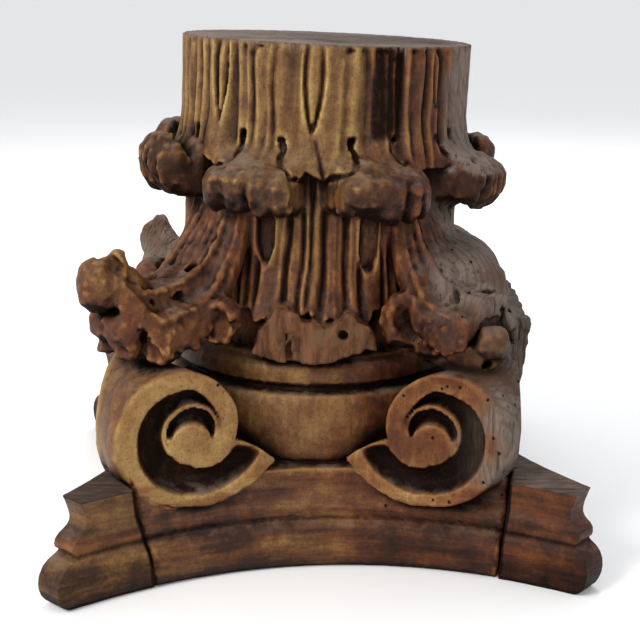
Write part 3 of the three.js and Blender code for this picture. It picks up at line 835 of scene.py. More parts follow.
# chips, tool marks and unevenness, only close to the surface
near = np.abs(field) < 5
index = np.argwhere(near)
places = np.stack([AXES[i][index[:, i]] for i in range(3)], axis=1)
worn = 0.6 * lattice_noise(places, 9.0, 1) + 0.45 * lattice_noise(places, 4.2, 2)
grain = lattice_noise(places * np.array([1, 1, 0.12]), 2.6, 3)
x, y, height = places.T
azimuth, radius = np.degrees(np.arctan2(x, -y)), np.hypot(x, y)
leafy = smooth(radius, 90, 97) * band(height, 122, 130, 246, 252)
rough_side = smooth(azimuth, 45, 60) * fall(height, 185, 195) * smooth(height, 58, 64)
amount = 0.3 + 1.2 * leafy * (1 - rough_side) + 0.7 * rough_side
moved = amount * worn + 0.26 * grain
cut_here = leafy > 0.05
flank = fall(radius, 112, 128) * band(height, 150, 158, 200, 206)
round_knob = near_to(places, at(42.5, 145, 140), 13)
lobed = leafy * (1 - 0.85 * flank) * (1 - 0.25 * round_knob) * (1 - 0.3 * smooth(height, 196, 206))
lobed = lobed[cut_here]
facet = 1.3 + 0.9 * smooth(height[cut_here], 195, 206)
moved[cut_here] += facet * lobed * (0.62 - cell_facets(places[cut_here], 8.0, 6))
moved[cut_here] += 0.45 * lobed * lattice_noise(places[cut_here], 2.8, 9)
torn = (np.abs(x) < 36) * smooth(-y, 88, 92) * band(height, 121, 124, 152, 156)
moved += torn * (0.9 * grain + 0.5 * lattice_noise(places * np.array([1, 1, 0.3]), 5.0, 12))
rim_chips = smooth(height, 290, 298) * smooth(radius, 78, 83)
moved += 2.6 * rim_chips * np.clip(lattice_noise(places, 4.5, 10) - 0.1, 0, 1)
flat = band(height, 1, 4, 297, 299.4)
field[near] += (moved * flat).astype(np.float32)
cuts, x, y, z = room(LOW, HIGH)
field[:] = np.maximum(field, np.maximum(z - HEIGHT, -z))


def surface_net(values):
    """Quads between the filled and the empty cells of the grid."""
    filled = values < 0
    corners = list(product((0, 1), repeat=3))
    size = [s - 1 for s in values.shape]
    count = sum(filled[i:i + size[0], j:j + size[1], k:k + size[2]].astype(np.int8) for i, j, k in corners)
    cells = np.argwhere((count > 0) & (count < 8))
    number = np.full(size, -1, dtype=np.int32)
    number[tuple(cells.T)] = np.arange(len(cells))
    total = np.zeros((len(cells), 3), dtype=np.float64)
    crossings = np.zeros(len(cells))
    at_corner = {c: values[tuple((cells + c).T)].astype(np.float64) for c in corners}
    for a in corners:
        for axis in range(3):
            if a[axis]:
                continue
            b = tuple(1 if n == axis else a[n] for n in range(3))
            va, vb = at_corner[a], at_corner[b]
            split = (va < 0) != (vb < 0)
            share = np.where(split, va / np.where(split, va - vb, 1), 0)
            place = np.array(a, dtype=np.float64)[None, :].repeat(len(cells), 0)
            place[:, axis] += share
            total += place * split[:, None]
            crossings += split
    points = (cells + total / crossings[:, None]) * STEP + LOW
    faces = []
    for axis in range(3):
        u, v = (axis + 1) % 3, (axis + 2) % 3
        head = [slice(None)] * 3
        tail = [slice(None)] * 3
        head[axis], tail[axis] = slice(0, -1), slice(1, None)
        change = filled[tuple(head)] != filled[tuple(tail)]
        spots = np.argwhere(change)
        here_u, here_v = spots[:, u], spots[:, v]
        spots = spots[(here_u > 0) & (here_v > 0) & (here_u < size[u]) & (here_v < size[v])]
        outward = filled[tuple(spots.T)]
        ring = []
        for du, dv in ((-1, -1), (0, -1), (0, 0), (-1, 0)):
            cell = spots.copy()
            cell[:, u] += du
            cell[:, v] += dv
            ring.append(number[tuple(cell.T)])
        quad = np.stack(ring, axis=1)
        quad[~outward] = quad[~outward][:, ::-1]
        faces.append(quad)
    return points, np.concatenate(faces)


def mesh_from(name, points, faces):
    mesh = bpy.data.meshes.new(name)
    mesh.vertices.add(len(points))
    mesh.vertices.foreach_set("co", np.asarray(points, dtype=np.float32).ravel())
    sides = faces.shape[1]
    mesh.loops.add(faces.size)
    mesh.loops.foreach_set("vertex_index", faces.ravel().astype(np.int32))
    mesh.polygons.add(len(faces))
    mesh.polygons.foreach_set("loop_start", np.arange(0, faces.size, sides, dtype=np.int32))
    mesh.update(calc_edges=True)
    mesh.validate()
    return mesh


def object_of(name, mesh):
    thing = bpy.data.objects.new(name, mesh)
    bpy.context.scene.collection.objects.link(thing)
    return thing


def baked(thing):
    """The evaluated mesh takes the place of the modifiers."""
    view = bpy.context.evaluated_depsgraph_get()
    mesh = bpy.data.meshes.new_from_object(thing.evaluated_get(view))
    thing.modifiers.clear()
    thing.data = mesh
    return mesh


MOST_TRIANGLES = 190000
points, faces = surface_net(field)
mesh = mesh_from("carving", points, faces)
carving = object_of("carved_block_wood", mesh)
triangles = 2 * len(faces)
if triangles > MOST_TRIANGLES:
    thin = carving.modifiers.new("thin", "DECIMATE")
    thin.ratio = MOST_TRIANGLES / triangles
    mesh = baked(carving)


def read_vectors(mesh, source, what):
    flat = np.empty(len(mesh.vertices) * 3, dtype=np.float32)
    source.foreach_get(what, flat)
    return flat.reshape(-1, 3)


def read_points(mesh):
    return read_vectors(mesh, mesh.vertices, "co")


def read_normals(mesh):
    return read_vectors(mesh, mesh.vertex_normals, "vector")


def write_points(mesh, points):
    mesh.vertices.foreach_set("co", np.asarray(points, dtype=np.float32).ravel())
    mesh.update()


def set_masks(mesh, **masks):
    for name, values in masks.items():
        layer = mesh.attributes.new(name, "FLOAT", "POINT")
        layer.data.foreach_set("value", np.clip(values, 0, 1).astype(np.float32))


def blurred(grid, reach):
    """Mean of a grid over a box, by running sums."""
    for axis in range(3):
        margin = [(reach + 1, reach) if n == axis else (0, 0) for n in range(3)]
        sums = np.cumsum(np.pad(grid, margin, mode="edge"), axis=axis, dtype=np.float32)
        low = [slice(None)] * 3
        high = [slice(None)] * 3
        low[axis] = slice(0, -2 * reach - 1)
        high[axis] = slice(2 * reach + 1, None)
        grid = (sums[tuple(high)] - sums[tuple(low)]) / (2 * reach + 1)
    return grid


solid_share = np.clip(0.5 - field / STEP, 0, 1)


def cells_in(length):
    return max(1, int(round(length / STEP)))


# where the finish is rubbed off edges; how dark it is, mostly painted shade in hollows, creases, undersides
# and low down, with darker joints and patches of its own; where it was never laid on, torn away, gilt or
# dusty
points = read_points(mesh).astype(np.float64)
normals = read_normals(mesh)
x, y, height = points.T
facing_up = normals[:, 2]
azimuth = np.degrees(np.arctan2(x, -y))
whole_turn = azimuth % 360
radius = np.hypot(x, y)
wobble = lattice_noise(points, 14, 8)
turn = whole_turn + 5 * wobble

tight = grid_value(blurred(solid_share, cells_in(2.6)), points, STEP)
wide = grid_value(blurred(blurred(solid_share, cells_in(6)), cells_in(6)), points + normals * 5, STEP)
fine = grid_value(blurred(solid_share, cells_in(1.2)), points, STEP)
lobes = smooth(radius, 94, 102) * smooth(height, 124, 130)
ridge = smooth(0.5 - tight, 0.02, 0.17) * (1 - 0.45 * lobes) + 0.9 * lobes * smooth(0.5 - fine, 0.05, 0.2)
# painted shade: the hollow mask darkens where the carving shuts the surface in and in tight creases
hollow = np.maximum(smooth(wide, 0.24, 0.62), smooth(tight - 0.5, 0.05, 0.22) * 0.8)
# painted shade darkens the volute channels and is mostly taken off the flat of their rims
for corner, carved, trimmed in VOLUTES:
    sunk = scroll(corner, carved, trimmed, "channel")(x, y, height)
    hollow = np.maximum(hollow, 0.8 * smooth(sunk, 1.2, 6))
    hollow[sunk < 0] *= 0.3
    ridge[sunk < 0] = np.maximum(ridge[sunk < 0], 0.75 if corner < 0 else 0.32)

raw_side = smooth(turn, 33, 42) * fall(turn + 8 * wobble, 216, 232)
raw = smooth(turn, 50, 56) * fall(turn + 12 * wobble, 128, 150)
raw *= smooth(height, 224, 236) * (radius < 92)
upward_rim = smooth(radius, 86, 90) * smooth(facing_up, 0.1, 0.5)
for bare in (
    raw_side * smooth(height, 58, 62) * fall(height + 6 * wobble, 176, 192),
    smooth(turn, 44, 50) * (turn < 140) * band(height, 170, 186, 204, 214),
    (turn > 50) * (turn < 85) * smooth(height, 214, 222) * upward_rim,
    smooth(height, 298.5, 299.5),
    (np.abs(azimuth + 135) < 26) * smooth(radius, 120, 132) * (height > 100),
):
    raw = np.maximum(raw, bare)
knob = near_to(points, KNOB, 16)
raw *= (1 - knob) * (1 - near_to(points, at(39, 131, 133), 13))
raw *= 1 - (height < 126) * (radius < 100) * fall(turn, 46, 52)
pale = smooth(-polygon_distance(x, height, SCAR), -1.5, 0.5) * smooth(-y, 84, 88)

left_curl = azimuth < -48
gold = fall(x + 26 * wobble, -30, 95) * (0.5 + 0.5 * smooth(height, 195, 240))
gold += (0.45 - gold) * band(whole_turn, 90, 120, 250, 280)
gold = np.maximum(gold, 0.8 * smooth(-x, 98, 108) * smooth(height, 155, 165))
gold *= 1 - 0.4 * left_curl * band(height, 196, 205, 246, 256)
gold *= 1 - 0.45 * (azimuth < -20) * band(height, 118, 124, 196, 240)
gold = np.maximum(gold, 0.55 * knob)

dark_panel = band(azimuth, 17, 18.5, 30, 31.5) * smooth(height, 246, 251) * (height < 299)
# painted shade on faces turned downwards, with the darker panel on the bell
hollow = np.maximum(np.maximum(hollow, 0.75 * smooth(-facing_up, 0.15, 0.8)), 0.7 * dark_panel)
# painted shade along the cuts under the leaf ends
for (low, high, shape), width in cuts_under:
    dark = 0.95 if width > 1.1 else 0.6
    hollow = np.maximum(hollow, dark * fall(shape(x, y, height), -0.2, 0.9))
left_leaf = (np.abs(azimuth + 45) < 26) * band(radius, 98, 110, 140, 150) * smooth(height, 128, 134)
for darker, where in (
    (0.12, band(height, 118, 124, 226, 236)),
    (0.25, height > 298.5),
    (0.16, smooth(x, -10, 60)),
    (0.32, left_curl * band(height, 190, 205, 246, 256)),
    (0.17, left_leaf * (1 - 0.8 * ridge)),
    (0.12, (np.abs(azimuth - 38) < 12) * smooth(radius, 112, 122) * (height > 120) * (height < 152)),
    (0.12, smooth(azimuth, 48, 54) * band(height, 196, 205, 238, 246)),
    (-0.07, smooth(height, 40, 44) * (height < 60) * (radius > 100)),
    (-0.17, fall(np.abs(azimuth + 4), 12, 16) * smooth(height, 232, 240) * (height < 298)),
    # painted shade: the abacus darker towards the floor
    (0.14, fall(height, 22, 40)),
    (0.1, fall(np.abs(height - 33), 2, 4) * (radius > 100)),
):
    hollow += darker * where
hollow *= 1 - 0.35 * knob
for horn in HORNS:
    joint = fall(np.abs(beyond_joint(horn, -0.6)(x, y, height)), 0.5, 2.6)
    hollow = np.maximum(hollow, joint * (height < 62) * (radius > 100))
slab = smooth(azimuth, 40, 48) * (azimuth < 120) * smooth(radius, 120, 134) * fall(height, 140, 150)
hollow += 0.27 * slab
dust = 0.75 * smooth(facing_up, 0.45, 0.95) * (1 - raw) * fall(hollow, 0.7, 1)
set_masks(mesh, ridge=ridge, hollow=hollow, raw=raw * (1 - pale), pale=pale, gold=gold, dust=dust)
write_points(mesh, lean(points) * MM)
mesh.shade_smooth()
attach(carving, "root")
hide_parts("carved_block")

# ---------------------------------------------------------------- node tools


class Tree:
    """A small hand for joining nodes of one tree."""

    def __init__(self, tree):
        self.tree = tree
        self.column = 0

    def new(self, kind, **settings):
        node = self.tree.nodes.new(kind)
        node.location = (self.column % 40 * 180, -220 * (self.column // 40))
        self.column += 1
        for key, value in settings.items():
            setattr(node, key, value)
        return node

    def join(self, value, socket):
        if isinstance(value, bpy.types.NodeSocket):
            self.tree.links.new(value, socket)
        else:
            socket.default_value = value

    def fed(self, kind, inputs, **settings):
        """A new node with values or links in these of its inputs."""
        node = self.new(kind, **settings)
        for key, value in inputs.items():
            self.join(value, node.inputs[key])
        return node

    def math(self, kind, *values, clamp=False):
        node = self.fed("ShaderNodeMath", dict(enumerate(values)), operation=kind, use_clamp=clamp)
        return node.outputs[0]

    def times(self, a, b, clamp=False):
        return self.math("MULTIPLY", a, b, clamp=clamp)

    def plus(self, a, b, clamp=False):
        return self.math("ADD", a, b, clamp=clamp)

    def minus(self, a, b, clamp=False):
        return self.math("SUBTRACT", a, b, clamp=clamp)

    def vector(self, kind, a, b=None):
        inputs = {0: a} if b is None else {0: a, ("Scale" if kind == "SCALE" else 1): b}
        node = self.fed("ShaderNodeVectorMath", inputs, operation=kind)
        return node.outputs["Value" if kind == "LENGTH" else 0]

    def apart(self, vector):
        """The three parts of a vector."""
        return self.fed("ShaderNodeSeparateXYZ", {0: vector}).outputs

    def together(self, *parts):
        return self.fed("ShaderNodeCombineXYZ", dict(enumerate(parts))).outputs[0]


def node_group(name, takes_shape, lengths, counts):
    """A new tree with these inputs: the hand for its nodes, and what it is given."""
    tree = bpy.data.node_groups.new(name, "GeometryNodeTree")

    def socket(label, kind, value=None, side="INPUT"):
        made = tree.interface.new_socket(name=label, in_out=side, socket_type=f"NodeSocket{kind}")
        if value is not None:
            made.default_value = value
    if takes_shape:
        socket("Geometry", "Geometry")
    for label, value in lengths:
        socket(label, "Float", value)
    for label, value in counts:
        socket(label, "Int", value)
    socket("Finish", "Material")
    socket("Geometry", "Geometry", side="OUTPUT")
    t = Tree(tree)
    return t, t.new("NodeGroupInput").outputs


def finished(t, shape, finish):
    """The tree's result: the shape made real, with its finish."""
    real = t.fed("GeometryNodeRealizeInstances", {0: shape})
    paint = t.fed("GeometryNodeSetMaterial", {"Geometry": real.outputs[0], "Material": finish})
    t.fed("NodeGroupOutput", {"Geometry": paint.outputs[0]})
    return t.tree


# ---------------------------------------------------------------- glued horns of the abacus
def horn_tree():
    """Lofts the two hollow sides and the cut end of a horn from a moulding profile."""
    t, given = node_group("Glued horn", False, (
        ("Height", 0.06), ("Waist", 0.1105), ("Reach", 0.2143), ("End width", 0.018), ("Corner", 0.0),
        ("Deeper", 1.6), ("Inner share", 0.45), ("Turn", 0.0698), ("Deepest inset", 0.02), ("Wear", 0.0006),
    ), (("Points along", 240), ("Points up", 120), ("Seed", 3)))
    grid = t.fed("GeometryNodeMeshGrid", {
        "Size X": 1, "Size Y": 1, "Vertices X": given["Points along"], "Vertices Y": given["Points up"],
    })
    across, up, _ = t.apart(t.new("GeometryNodeInputPosition").outputs[0])
    # the middle 76 % of the rows climb the moulding, the rest close the top and the foot
    climb = t.plus(t.times(up, 1 / 0.76), 0.5, clamp=True)
    closing = t.times(t.minus(t.math("ABSOLUTE", up), 0.38), 1 / 0.12, clamp=True)
    profile = t.new("ShaderNodeFloatCurve")
    curve = profile.mapping.curves[0]
    deepest = 20
    for share, inset in MOULDING[1:-1]:
        curve.points.new(share, inset / deepest)
    for k in (0, -1):
        curve.points[k].location = (MOULDING[k][0], MOULDING[k][1] / deepest)
    for point in curve.points:
        point.handle_type = "VECTOR"
    profile.mapping.update()
    t.join(climb, profile.inputs["Value"])
    inset = t.times(profile.outputs[0], given["Deepest inset"])
    away = t.times(t.math("ABSOLUTE", across), 2.0)
    share = t.math("DIVIDE", t.minus(away, 0.1), 0.9, clamp=True)
    turns = t.minus(1.0, t.times(share, t.minus(1.0, given["Inner share"])))
    end = t.math("DIVIDE", away, 0.1, clamp=True)
    reach = t.times(t.minus(given["Reach"], t.times(inset, given["Deeper"])), math.sqrt(0.5))
    cut = t.times(t.minus(t.times(given["End width"], 0.5), t.times(inset, 0.15)), math.sqrt(0.5))
    half = t.minus(reach, cut)
    depth = t.plus(reach, cut)
    waist = t.minus(given["Waist"], inset)
    hollow_side = t.times(t.minus(depth, waist), t.times(turns, turns))
    out_y = t.plus(waist, hollow_side)
    out_x = t.times(half, turns)
    along = t.times(t.plus(out_x, out_y), math.sqrt(0.5))
    sideways = t.times(t.minus(out_y, out_x), math.sqrt(0.5))
    for factor in (end, t.minus(1.0, closing), t.math("SIGN", across)):
        sideways = t.times(sideways, factor)
    turn = t.fed("ShaderNodeVectorRotate", {
        "Vector": t.together(along, sideways, t.times(climb, given["Height"])),
        "Angle": t.plus(given["Corner"], given["Turn"]),
    }, rotation_type="Z_AXIS")
    put = t.fed("GeometryNodeSetPosition", {"Geometry": grid.outputs["Mesh"], "Position": turn.outputs[0]})
    weld = t.fed("GeometryNodeMergeByDistance", {"Geometry": put.outputs[0], "Distance": 0.00002})
    grain = t.fed("ShaderNodeTexNoise", {
        "Scale": 130, "Detail": 3, "W": t.times(given["Seed"], 7.31),
    }, noise_dimensions="4D")
    lift = t.times(t.minus(grain.outputs[0], 0.5), given["Wear"])
    wear = t.fed("GeometryNodeSetPosition", {
        "Geometry": weld.outputs[0],
        "Offset": t.vector("SCALE", t.new("GeometryNodeInputNormal").outputs[0], lift),
    })
    return finished(t, wear.outputs[0], given["Finish"])


def with_tree(thing, tree, **values):
    """A modifier that runs the tree with these named inputs."""
    modifier = thing.modifiers.new(tree.name, "NODES")
    modifier.node_group = tree
    for item in tree.interface.items_tree:
        key = item.name.replace(" ", "_").lower()
        if item.in_out == "INPUT" and key in values:
            modifier[item.identifier] = values[key]


# how dark the mouldings and the bare top are, and how much gilding is left
HORN_TONES = {"front_left": (0.03, 0.55, 0.8), "front_right": (0.18, 0.0, 0.0)}
GLUED_HORN = horn_tree()
horn_finish = bpy.data.materials.new("worn_horn")
for number, (name, (corner, deeper, joint_way, foot, head)) in enumerate(HORNS.items()):
    thing = object_of(f"horn_{name}_wood", bpy.data.meshes.new(name))
    along, up = ((420, 170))
    with_tree(
        thing, GLUED_HORN, corner=math.radians(corner - 90), deeper=deeper, seed=number + 3,
        points_along=along, points_up=up, finish=horn_finish,
    )
    mesh = baked(thing)
    shape = bmesh.new()
    shape.from_mesh(mesh)
    out = way(joint_way)
    slope = (head - foot) / ABACUS_HEIGHT
    length = math.hypot(1, slope)
    edges = shape.verts[:] + shape.edges[:] + shape.faces[:]
    cut = bmesh.ops.bisect_plane(
        shape, geom=edges, plane_co=Vector((out[0], out[1], 0)) * (foot + JOINT_GAP) * MM,
        plane_no=Vector((-out[0] / length, -out[1] / length, slope / length)), clear_outer=True, dist=1e-7,
    )
    rim = [item for item in cut["geom_cut"] if isinstance(item, bmesh.types.BMEdge)]
    bmesh.ops.triangle_fill(shape, edges=rim, use_beauty=True)
    bmesh.ops.recalc_face_normals(shape, faces=shape.faces)
    shape.to_mesh(mesh)
    shape.free()
    points = read_points(mesh).astype(np.float64) / MM
    height = points[:, 2]
    face_up = read_normals(mesh)[:, 2]
    bend = np.interp(height, MOULD_Z, np.gradient(np.gradient(MOULD_IN, MOULD_Z), MOULD_Z))
    fillet = band(height, 30, 31.5, 37, 39)
    tone, top_tone, gilt = HORN_TONES.get(name, (0.1, 0.0, 0.35))
    # painted shade: the horn darker towards its foot; the tone and the fillet band are the finish's own
    dark = tone + 0.4 * fall(height, 12, 34) + 0.08 * fillet
    dark = np.maximum(dark, top_tone * (height > 59))
    joint = beyond_joint(name, JOINT_GAP)(points[:, 0], points[:, 1], height)
    dark = np.maximum(dark, fall(np.abs(joint), 0.4, 2.2))
    # painted shade in the hollow bends of the moulding and on faces turned downwards
    dark = dark + np.maximum(0.5 * smooth(-bend, 0.1, 0.6), 0.6 * smooth(-face_up, 0.1, 0.8))
    set_masks(
        mesh, ridge=0.5 * smooth(bend, 0.05, 0.4), hollow=dark, raw=smooth(height, 58.8, 59.6),
        pale=0 * height, gold=gilt * (1 - 0.8 * fillet), dust=0.5 * smooth(face_up, 0.5, 0.95),
    )
    write_points(mesh, lean(points) * MM)
    mesh.shade_smooth()
    mesh.set_sharp_from_angle(angle=math.radians(50))
    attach(thing, "root")
    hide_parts(f"horn_{name}")

# ---------------------------------------------------------------- worm holes
WORM_HOLES = [
    # where they are in the photo, in pixels from its top left corner
    (403.6, 395.8), (434.5, 395.6), (442, 388.8), (447.4, 386.6), (460, 387.4), (432.7, 437.9),
    (459.5, 446.5), (445.4, 467.7), (441.6, 469.3), (444, 473.4), (462, 479), (433, 500), (449, 502),
    (385.7, 505.6), (483.3, 482.5), (502, 494.8), (493.4, 438.4), (499, 453.6), (502.9, 395.6),
    (518.4, 381.5), (414, 341), (419, 344), (218, 385), (173, 435), (452, 250), (471, 262), (462, 317),
    (512, 340), (515, 405), (488, 400),
]


def worm_hole_tree():
    """A small dark plug, set square to the surface with its top just proud of it, at every point given:
    painted shade standing for a flight hole.
    """
    t, given = node_group(
        "Worm holes", True, (("Width", 0.0017), ("Depth", 0.0012), ("Proud", 0.00012)), (("Sides", 12),),
    )
    plug = t.fed("GeometryNodeMeshCylinder", {
        "Vertices": given["Sides"], "Radius": t.times(given["Width"], 0.5), "Depth": given["Depth"],
    }, fill_type="NGON")
    sunk = t.fed("GeometryNodeTransform", {
        "Geometry": plug.outputs["Mesh"],
        "Translation": t.together(0, 0, t.minus(given["Proud"], t.times(given["Depth"], 0.5))),
    })
    facing = t.fed("GeometryNodeInputNamedAttribute", {"Name": "facing"}, data_type="FLOAT_VECTOR")
    size = t.fed("GeometryNodeInputNamedAttribute", {"Name": "size"}, data_type="FLOAT").outputs[0]
    turn = t.fed("FunctionNodeAlignRotationToVector", {"Vector": facing.outputs[0]}, axis="Z")
    dots = t.fed("GeometryNodeMeshToPoints", {"Mesh": given["Geometry"]})
    put = t.fed("GeometryNodeInstanceOnPoints", {
        "Points": dots.outputs[0], "Instance": sunk.outputs[0], "Rotation": turn.outputs[0],
        "Scale": t.together(size, t.times(size, 1.15), 1),
    })
    return finished(t, put.outputs[0], given["Finish"])


look_from = Vector((0.0082, -0.780, 0.3335))
LOOK_DOWN, LENS, SENSOR, PICTURE = math.radians(15.2), 70.3, 36.0, 640
cos, sin = math.cos(LOOK_DOWN), math.sin(LOOK_DOWN)
block = carving.data
skin = BVHTree.FromPolygons([v.co[:] for v in block.vertices], [p.vertices[:] for p in block.polygons])
spots = []
for px, py in WORM_HOLES:
    right, up = (px - PICTURE / 2) / PICTURE * SENSOR / LENS, (PICTURE / 2 - py) / PICTURE * SENSOR / LENS
    aim = Vector((right, cos + up * sin, up * cos - sin))
    spots.append(skin.ray_cast(look_from, aim.normalized()))
# and a few on the raw wood round the right side and the back
for _ in range(26):
    out = way(chance.uniform(70, 215))
    start = Vector((out[0] * 0.4, out[1] * 0.4, chance.uniform(0.06, 0.18)))
    spots.append(skin.ray_cast(start, Vector((-out[0], -out[1], 0))))
spots = [(place, normal) for place, normal, _, _ in spots if place is not None]
dots = bpy.data.meshes.new("worm_hole_places")
dots.from_pydata([place for place, _ in spots], [], [])
facing = [value for _, normal in spots for value in normal]
dots.attributes.new("facing", "FLOAT_VECTOR", "POINT").data.foreach_set("vector", facing)
sizes = [chance.uniform(0.75, 1.15) for _ in spots]
dots.attributes.new("size", "FLOAT", "POINT").data.foreach_set("value", sizes)
hole_painted_shade = bpy.data.materials.new("worm_hole_dark")
worm_holes = object_of("worm_holes", dots)
with_tree(worm_holes, worm_hole_tree(), width=0.0018, finish=hole_painted_shade)
baked(worm_holes)
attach(worm_holes, "root")

# ---------------------------------------------------------------- camera, floor and light
camera = bpy.data.objects.new("camera", bpy.data.cameras.new("camera"))
bpy.context.scene.collection.objects.link(camera)
camera.location = look_from
camera.rotation_euler = (math.pi / 2 - LOOK_DOWN, 0, 0)
camera.data.sensor_width = SENSOR
camera.data.lens = LENS
bpy.context.scene.camera = camera

floor = bpy.data.meshes.new("floor")
floor.from_pydata([(-40, -40, 0), (40, -40, 0), (40, 60, 0), (-40, 60, 0)], [], [(0, 1, 2, 3)])
floor_piece = object_of("floor", floor)
plain = bpy.data.materials.new("pale_floor")
plain.use_nodes = True
matt = plain.node_tree.nodes["Principled BSDF"].inputs
matt["Base Color"].default_value = (0.93, 0.93, 0.935, 1)
matt["Roughness"].default_value = 0.9
floor.materials.append(plain)

world = bpy.data.worlds.new("studio")
world.use_nodes = True
sky = world.node_tree.nodes["Background"].inputs
sky[0].default_value = (0.98, 0.99, 1.0, 1)
sky[1].default_value = 0.85
bpy.context.scene.world = world


def soft_light(name, place, target, width, power, colour):
    data = bpy.data.lights.new(name, "AREA")
    data.shape = "DISK"
    data.size = width
    data.energy = power
    data.color = colour
    light = bpy.data.objects.new(name, data)
    light.location = place
    light.rotation_euler = (Vector(target) - Vector(place)).to_track_quat("-Z", "Y").to_euler()
    bpy.context.scene.collection.objects.link(light)


soft_light("window", (-1.0, -0.95, 1.15), (0, 0, 0.15), 0.6, 21, (1.0, 0.97, 0.93))
soft_light("fill", (1.3, -0.9, 0.7), (0, 0, 0.15), 1.0, 2.5, (0.92, 0.95, 1.0))
soft_light("behind", (0.3, 1.3, 1.4), (0, 0, 0.2), 1.0, 12, (0.95, 0.97, 1.0))
bpy.context.scene.view_settings.view_transform = "Standard"


# ---------------------------------------------------------------- finishes
OLIVE = [
    (0.0, (0.010, 0.005, 0.003)), (0.24, (0.042, 0.019, 0.009)), (0.46, (0.122, 0.056, 0.018)),
    (0.68, (0.215, 0.122, 0.038)), (1.0, (0.40, 0.27, 0.10)),
]
RUSSET = [
    (0.0, (0.009, 0.004, 0.003)), (0.24, (0.036, 0.012, 0.006)), (0.46, (0.100, 0.030, 0.009)),
    (0.68, (0.185, 0.072, 0.021)), (1.0, (0.30, 0.155, 0.06)),
]


SPECK, DUST = (0.03, 0.016, 0.01), (0.15, 0.115, 0.09)
# painted shade and dirt: the darkest colour, laid where the hollow mask is high
PAINTED_SHADE_AND_DIRT, STAIN = (0.014, 0.009, 0.007), (0.10, 0.052, 0.03)
BROKEN_LIGHT, BROKEN_DARK, BROKEN_DRY = (0.16, 0.066, 0.028), (0.07, 0.026, 0.011), (0.12, 0.064, 0.028)
RING_WIDTH = 0.0024


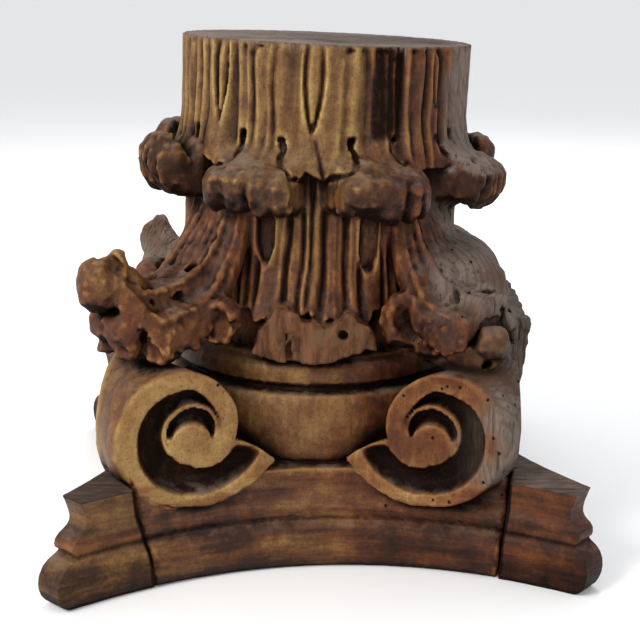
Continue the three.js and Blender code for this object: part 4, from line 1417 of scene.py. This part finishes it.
def worn_wood(material, raw_tone, grain, ringed):
    """Gilding worn down to red bole and dark wood, and raw grey wood where it was never gilded."""
    material.use_nodes = True
    t = Tree(material.node_tree)
    shader = material.node_tree.nodes["Principled BSDF"]
    where = t.new("ShaderNodeTexCoord").outputs["Object"]

    def mask(name):
        return t.new("ShaderNodeAttribute", attribute_name=name).outputs["Fac"]

    def noise(scale, detail=4.0, rough=0.55, stretch=(1, 1, 1), warp=0.0):
        place = t.fed("ShaderNodeMapping", {"Scale": stretch, "Vector": where})
        return t.fed("ShaderNodeTexNoise", {
            "Scale": scale, "Detail": detail, "Roughness": rough, "Distortion": warp,
            "Vector": place.outputs[0],
        }).outputs[0]

    def between(value, low, high):
        inputs = {"Value": value, "From Min": low, "From Max": high}
        return t.fed("ShaderNodeMapRange", inputs, interpolation_type="SMOOTHSTEP").outputs["Result"]

    def mixed(base, *coats):
        """Colours laid one over another, each with its share."""
        for share, colour in coats:
            inputs = {"Factor": share, 6: base, 7: colour}
            for key in (6, 7):
                if isinstance(inputs[key], tuple):
                    inputs[key] = (*inputs[key], 1)
            base = t.fed("ShaderNodeMix", inputs, data_type="RGBA").outputs[2]
        return base

    def ramp(value, stops):
        node = t.fed("ShaderNodeValToRGB", {"Fac": value})
        for k, (place, colour) in enumerate(stops):
            stop = node.color_ramp.elements[k] if k < 2 else node.color_ramp.elements.new(place)
            stop.position = place
            stop.color = (*colour, 1)
        return node.outputs["Color"]

    def summed(start, *parts):
        total = start
        for value, much in parts:
            total = t.math("MULTIPLY_ADD", value, much, total)
        return total

    def shade(tone, much):
        return tuple(much * c for c in tone)

    names = ("ridge", "hollow", "raw", "pale", "gold", "dust")
    ridge, hollow, raw, pale, gold, dust = (mask(name) for name in names)
    blotch = noise(17, 4, 0.55)
    patch = noise(75, 6, 0.68, warp=0.3)
    fleck = noise(430, 5, 0.72)
    drag = noise(210, 5, 0.62, (1, 1, 0.2))
    # on the mouldings the wear runs along them, not down
    height = t.apart(where)[2]
    moulded = t.minus(1.0, between(height, 0.058, 0.064))
    sweep = t.minus(noise(110, 5, 0.6, (0.12, 0.12, 1)), 0.5)
    drag = t.math("MULTIPLY_ADD", t.minus(0.5, drag), t.times(moulded, 0.7), drag)
    scratch = noise(420, 3, 0.6, grain)
    banded = t.times(sweep, moulded)
    # the hollow mask darkens the tone: mostly painted shade in recesses, creases and undersides
    tone = summed(
        -0.54, (ridge, 0.40), (hollow, -0.66), (blotch, 0.55), (patch, 0.7), (fleck, 0.35), (drag, 0.42),
        (banded, 1.1),
    )
    warm = between(summed(-0.35, (gold, 1.0), (blotch, 0.7), (banded, 1.3)), 0.2, 0.75)
    speck = t.times(between(noise(900, 2, 0.5), 0.6, 0.68), 0.6)
    coat = mixed(
        ramp(tone, RUSSET), (warm, ramp(tone, OLIVE)), (speck, SPECK),
        (t.times(dust, between(patch, 0.4, 0.68)), DUST),
    )

    sway = t.fed("ShaderNodeTexNoise", {"Scale": 16, "Detail": 3, "Vector": where})
    bent = t.vector("ADD", where, t.vector("SCALE", sway.outputs[1], 0.02))
    pith = t.vector("MULTIPLY", t.vector("SUBTRACT", bent, (0.082, -0.066, 0)), (1, 1, 0.2))
    rings = t.times(t.vector("LENGTH", pith), 1 / RING_WIDTH)
    rings = between(t.times(t.math("PINGPONG", rings, 0.5), 2.0), 0.1, 0.5)
    if ringed:
        below = t.minus(1.0, between(height, 0.27, 0.29))
        veil = t.times(between(blotch, 0.3, 0.55), below)
        wood = mixed(raw_tone, (t.times(t.minus(1.0, rings), veil), shade(raw_tone, 0.66)))
    else:
        wood = mixed(raw_tone, (between(scratch, 0.4, 0.6), shade(raw_tone, 0.6)))
    wood = mixed(
        wood, (between(patch, 0.45, 0.75), shade(raw_tone, 0.52)),
        (between(scratch, 0.56, 0.68), shade(raw_tone, 0.3)),
        (between(blotch, 0.5, 0.68), STAIN), (t.times(hollow, 0.85), PAINTED_SHADE_AND_DIRT),
    )
    broken = mixed(
        BROKEN_LIGHT, (between(drag, 0.4, 0.62), BROKEN_DARK), (between(patch, 0.5, 0.66), BROKEN_DRY),
        (t.times(hollow, 0.7), PAINTED_SHADE_AND_DIRT),
    )
    t.join(mixed(coat, (raw, wood), (pale, broken)), shader.inputs["Base Color"])

    bare = t.math("MAXIMUM", raw, pale)
    worked = t.minus(1.0, bare)
    t.join(t.times(between(tone, 0.5, 1.0), t.times(worked, 0.5)), shader.inputs["Metallic"])
    t.join(summed(0.36, (patch, 0.26), (bare, 0.28), (dust, 0.2)), shader.inputs["Roughness"])
    sheen = t.math("MULTIPLY_ADD", t.math("MINIMUM", hollow, 0.8), -0.25, 0.22)
    t.join(sheen, shader.inputs["Specular IOR Level"])
    lift = summed(0.0, (fleck, 0.4), (patch, 0.8), (drag, 0.5), (t.times(scratch, bare), 0.7))
    if ringed:
        lift = summed(lift, (t.times(rings, raw), 0.3))
    bump = t.fed("ShaderNodeBump", {"Strength": 0.8, "Distance": 0.0011, "Height": lift})
    t.join(bump.outputs[0], shader.inputs["Normal"])


block_finish = bpy.data.materials.new("worn_gilt_wood")
worn_wood(block_finish, (0.2, 0.148, 0.118), (1, 1, 0.08), True)
worn_wood(horn_finish, (0.135, 0.094, 0.073), (0.09, 1, 1), False)
carving.data.materials.clear()
carving.data.materials.append(block_finish)
# painted shade: a near-black colour standing for the inside of a flight hole
hole_painted_shade.use_nodes = True
t = Tree(hole_painted_shade.node_tree)
where = t.new("ShaderNodeTexCoord").outputs["Object"]
hole_shade_noise = t.fed("ShaderNodeTexNoise", {"Scale": 900, "Vector": where})
hole_shade = t.fed("ShaderNodeMix", {
    "Factor": hole_shade_noise.outputs[0], 6: (0.004, 0.003, 0.002, 1), 7: (0.022, 0.013, 0.009, 1),
}, data_type="RGBA")
shader = hole_painted_shade.node_tree.nodes["Principled BSDF"].inputs
t.join(hole_shade.outputs[2], shader["Base Color"])
shader["Roughness"].default_value = 0.95
shader["Specular IOR Level"].default_value = 0.1
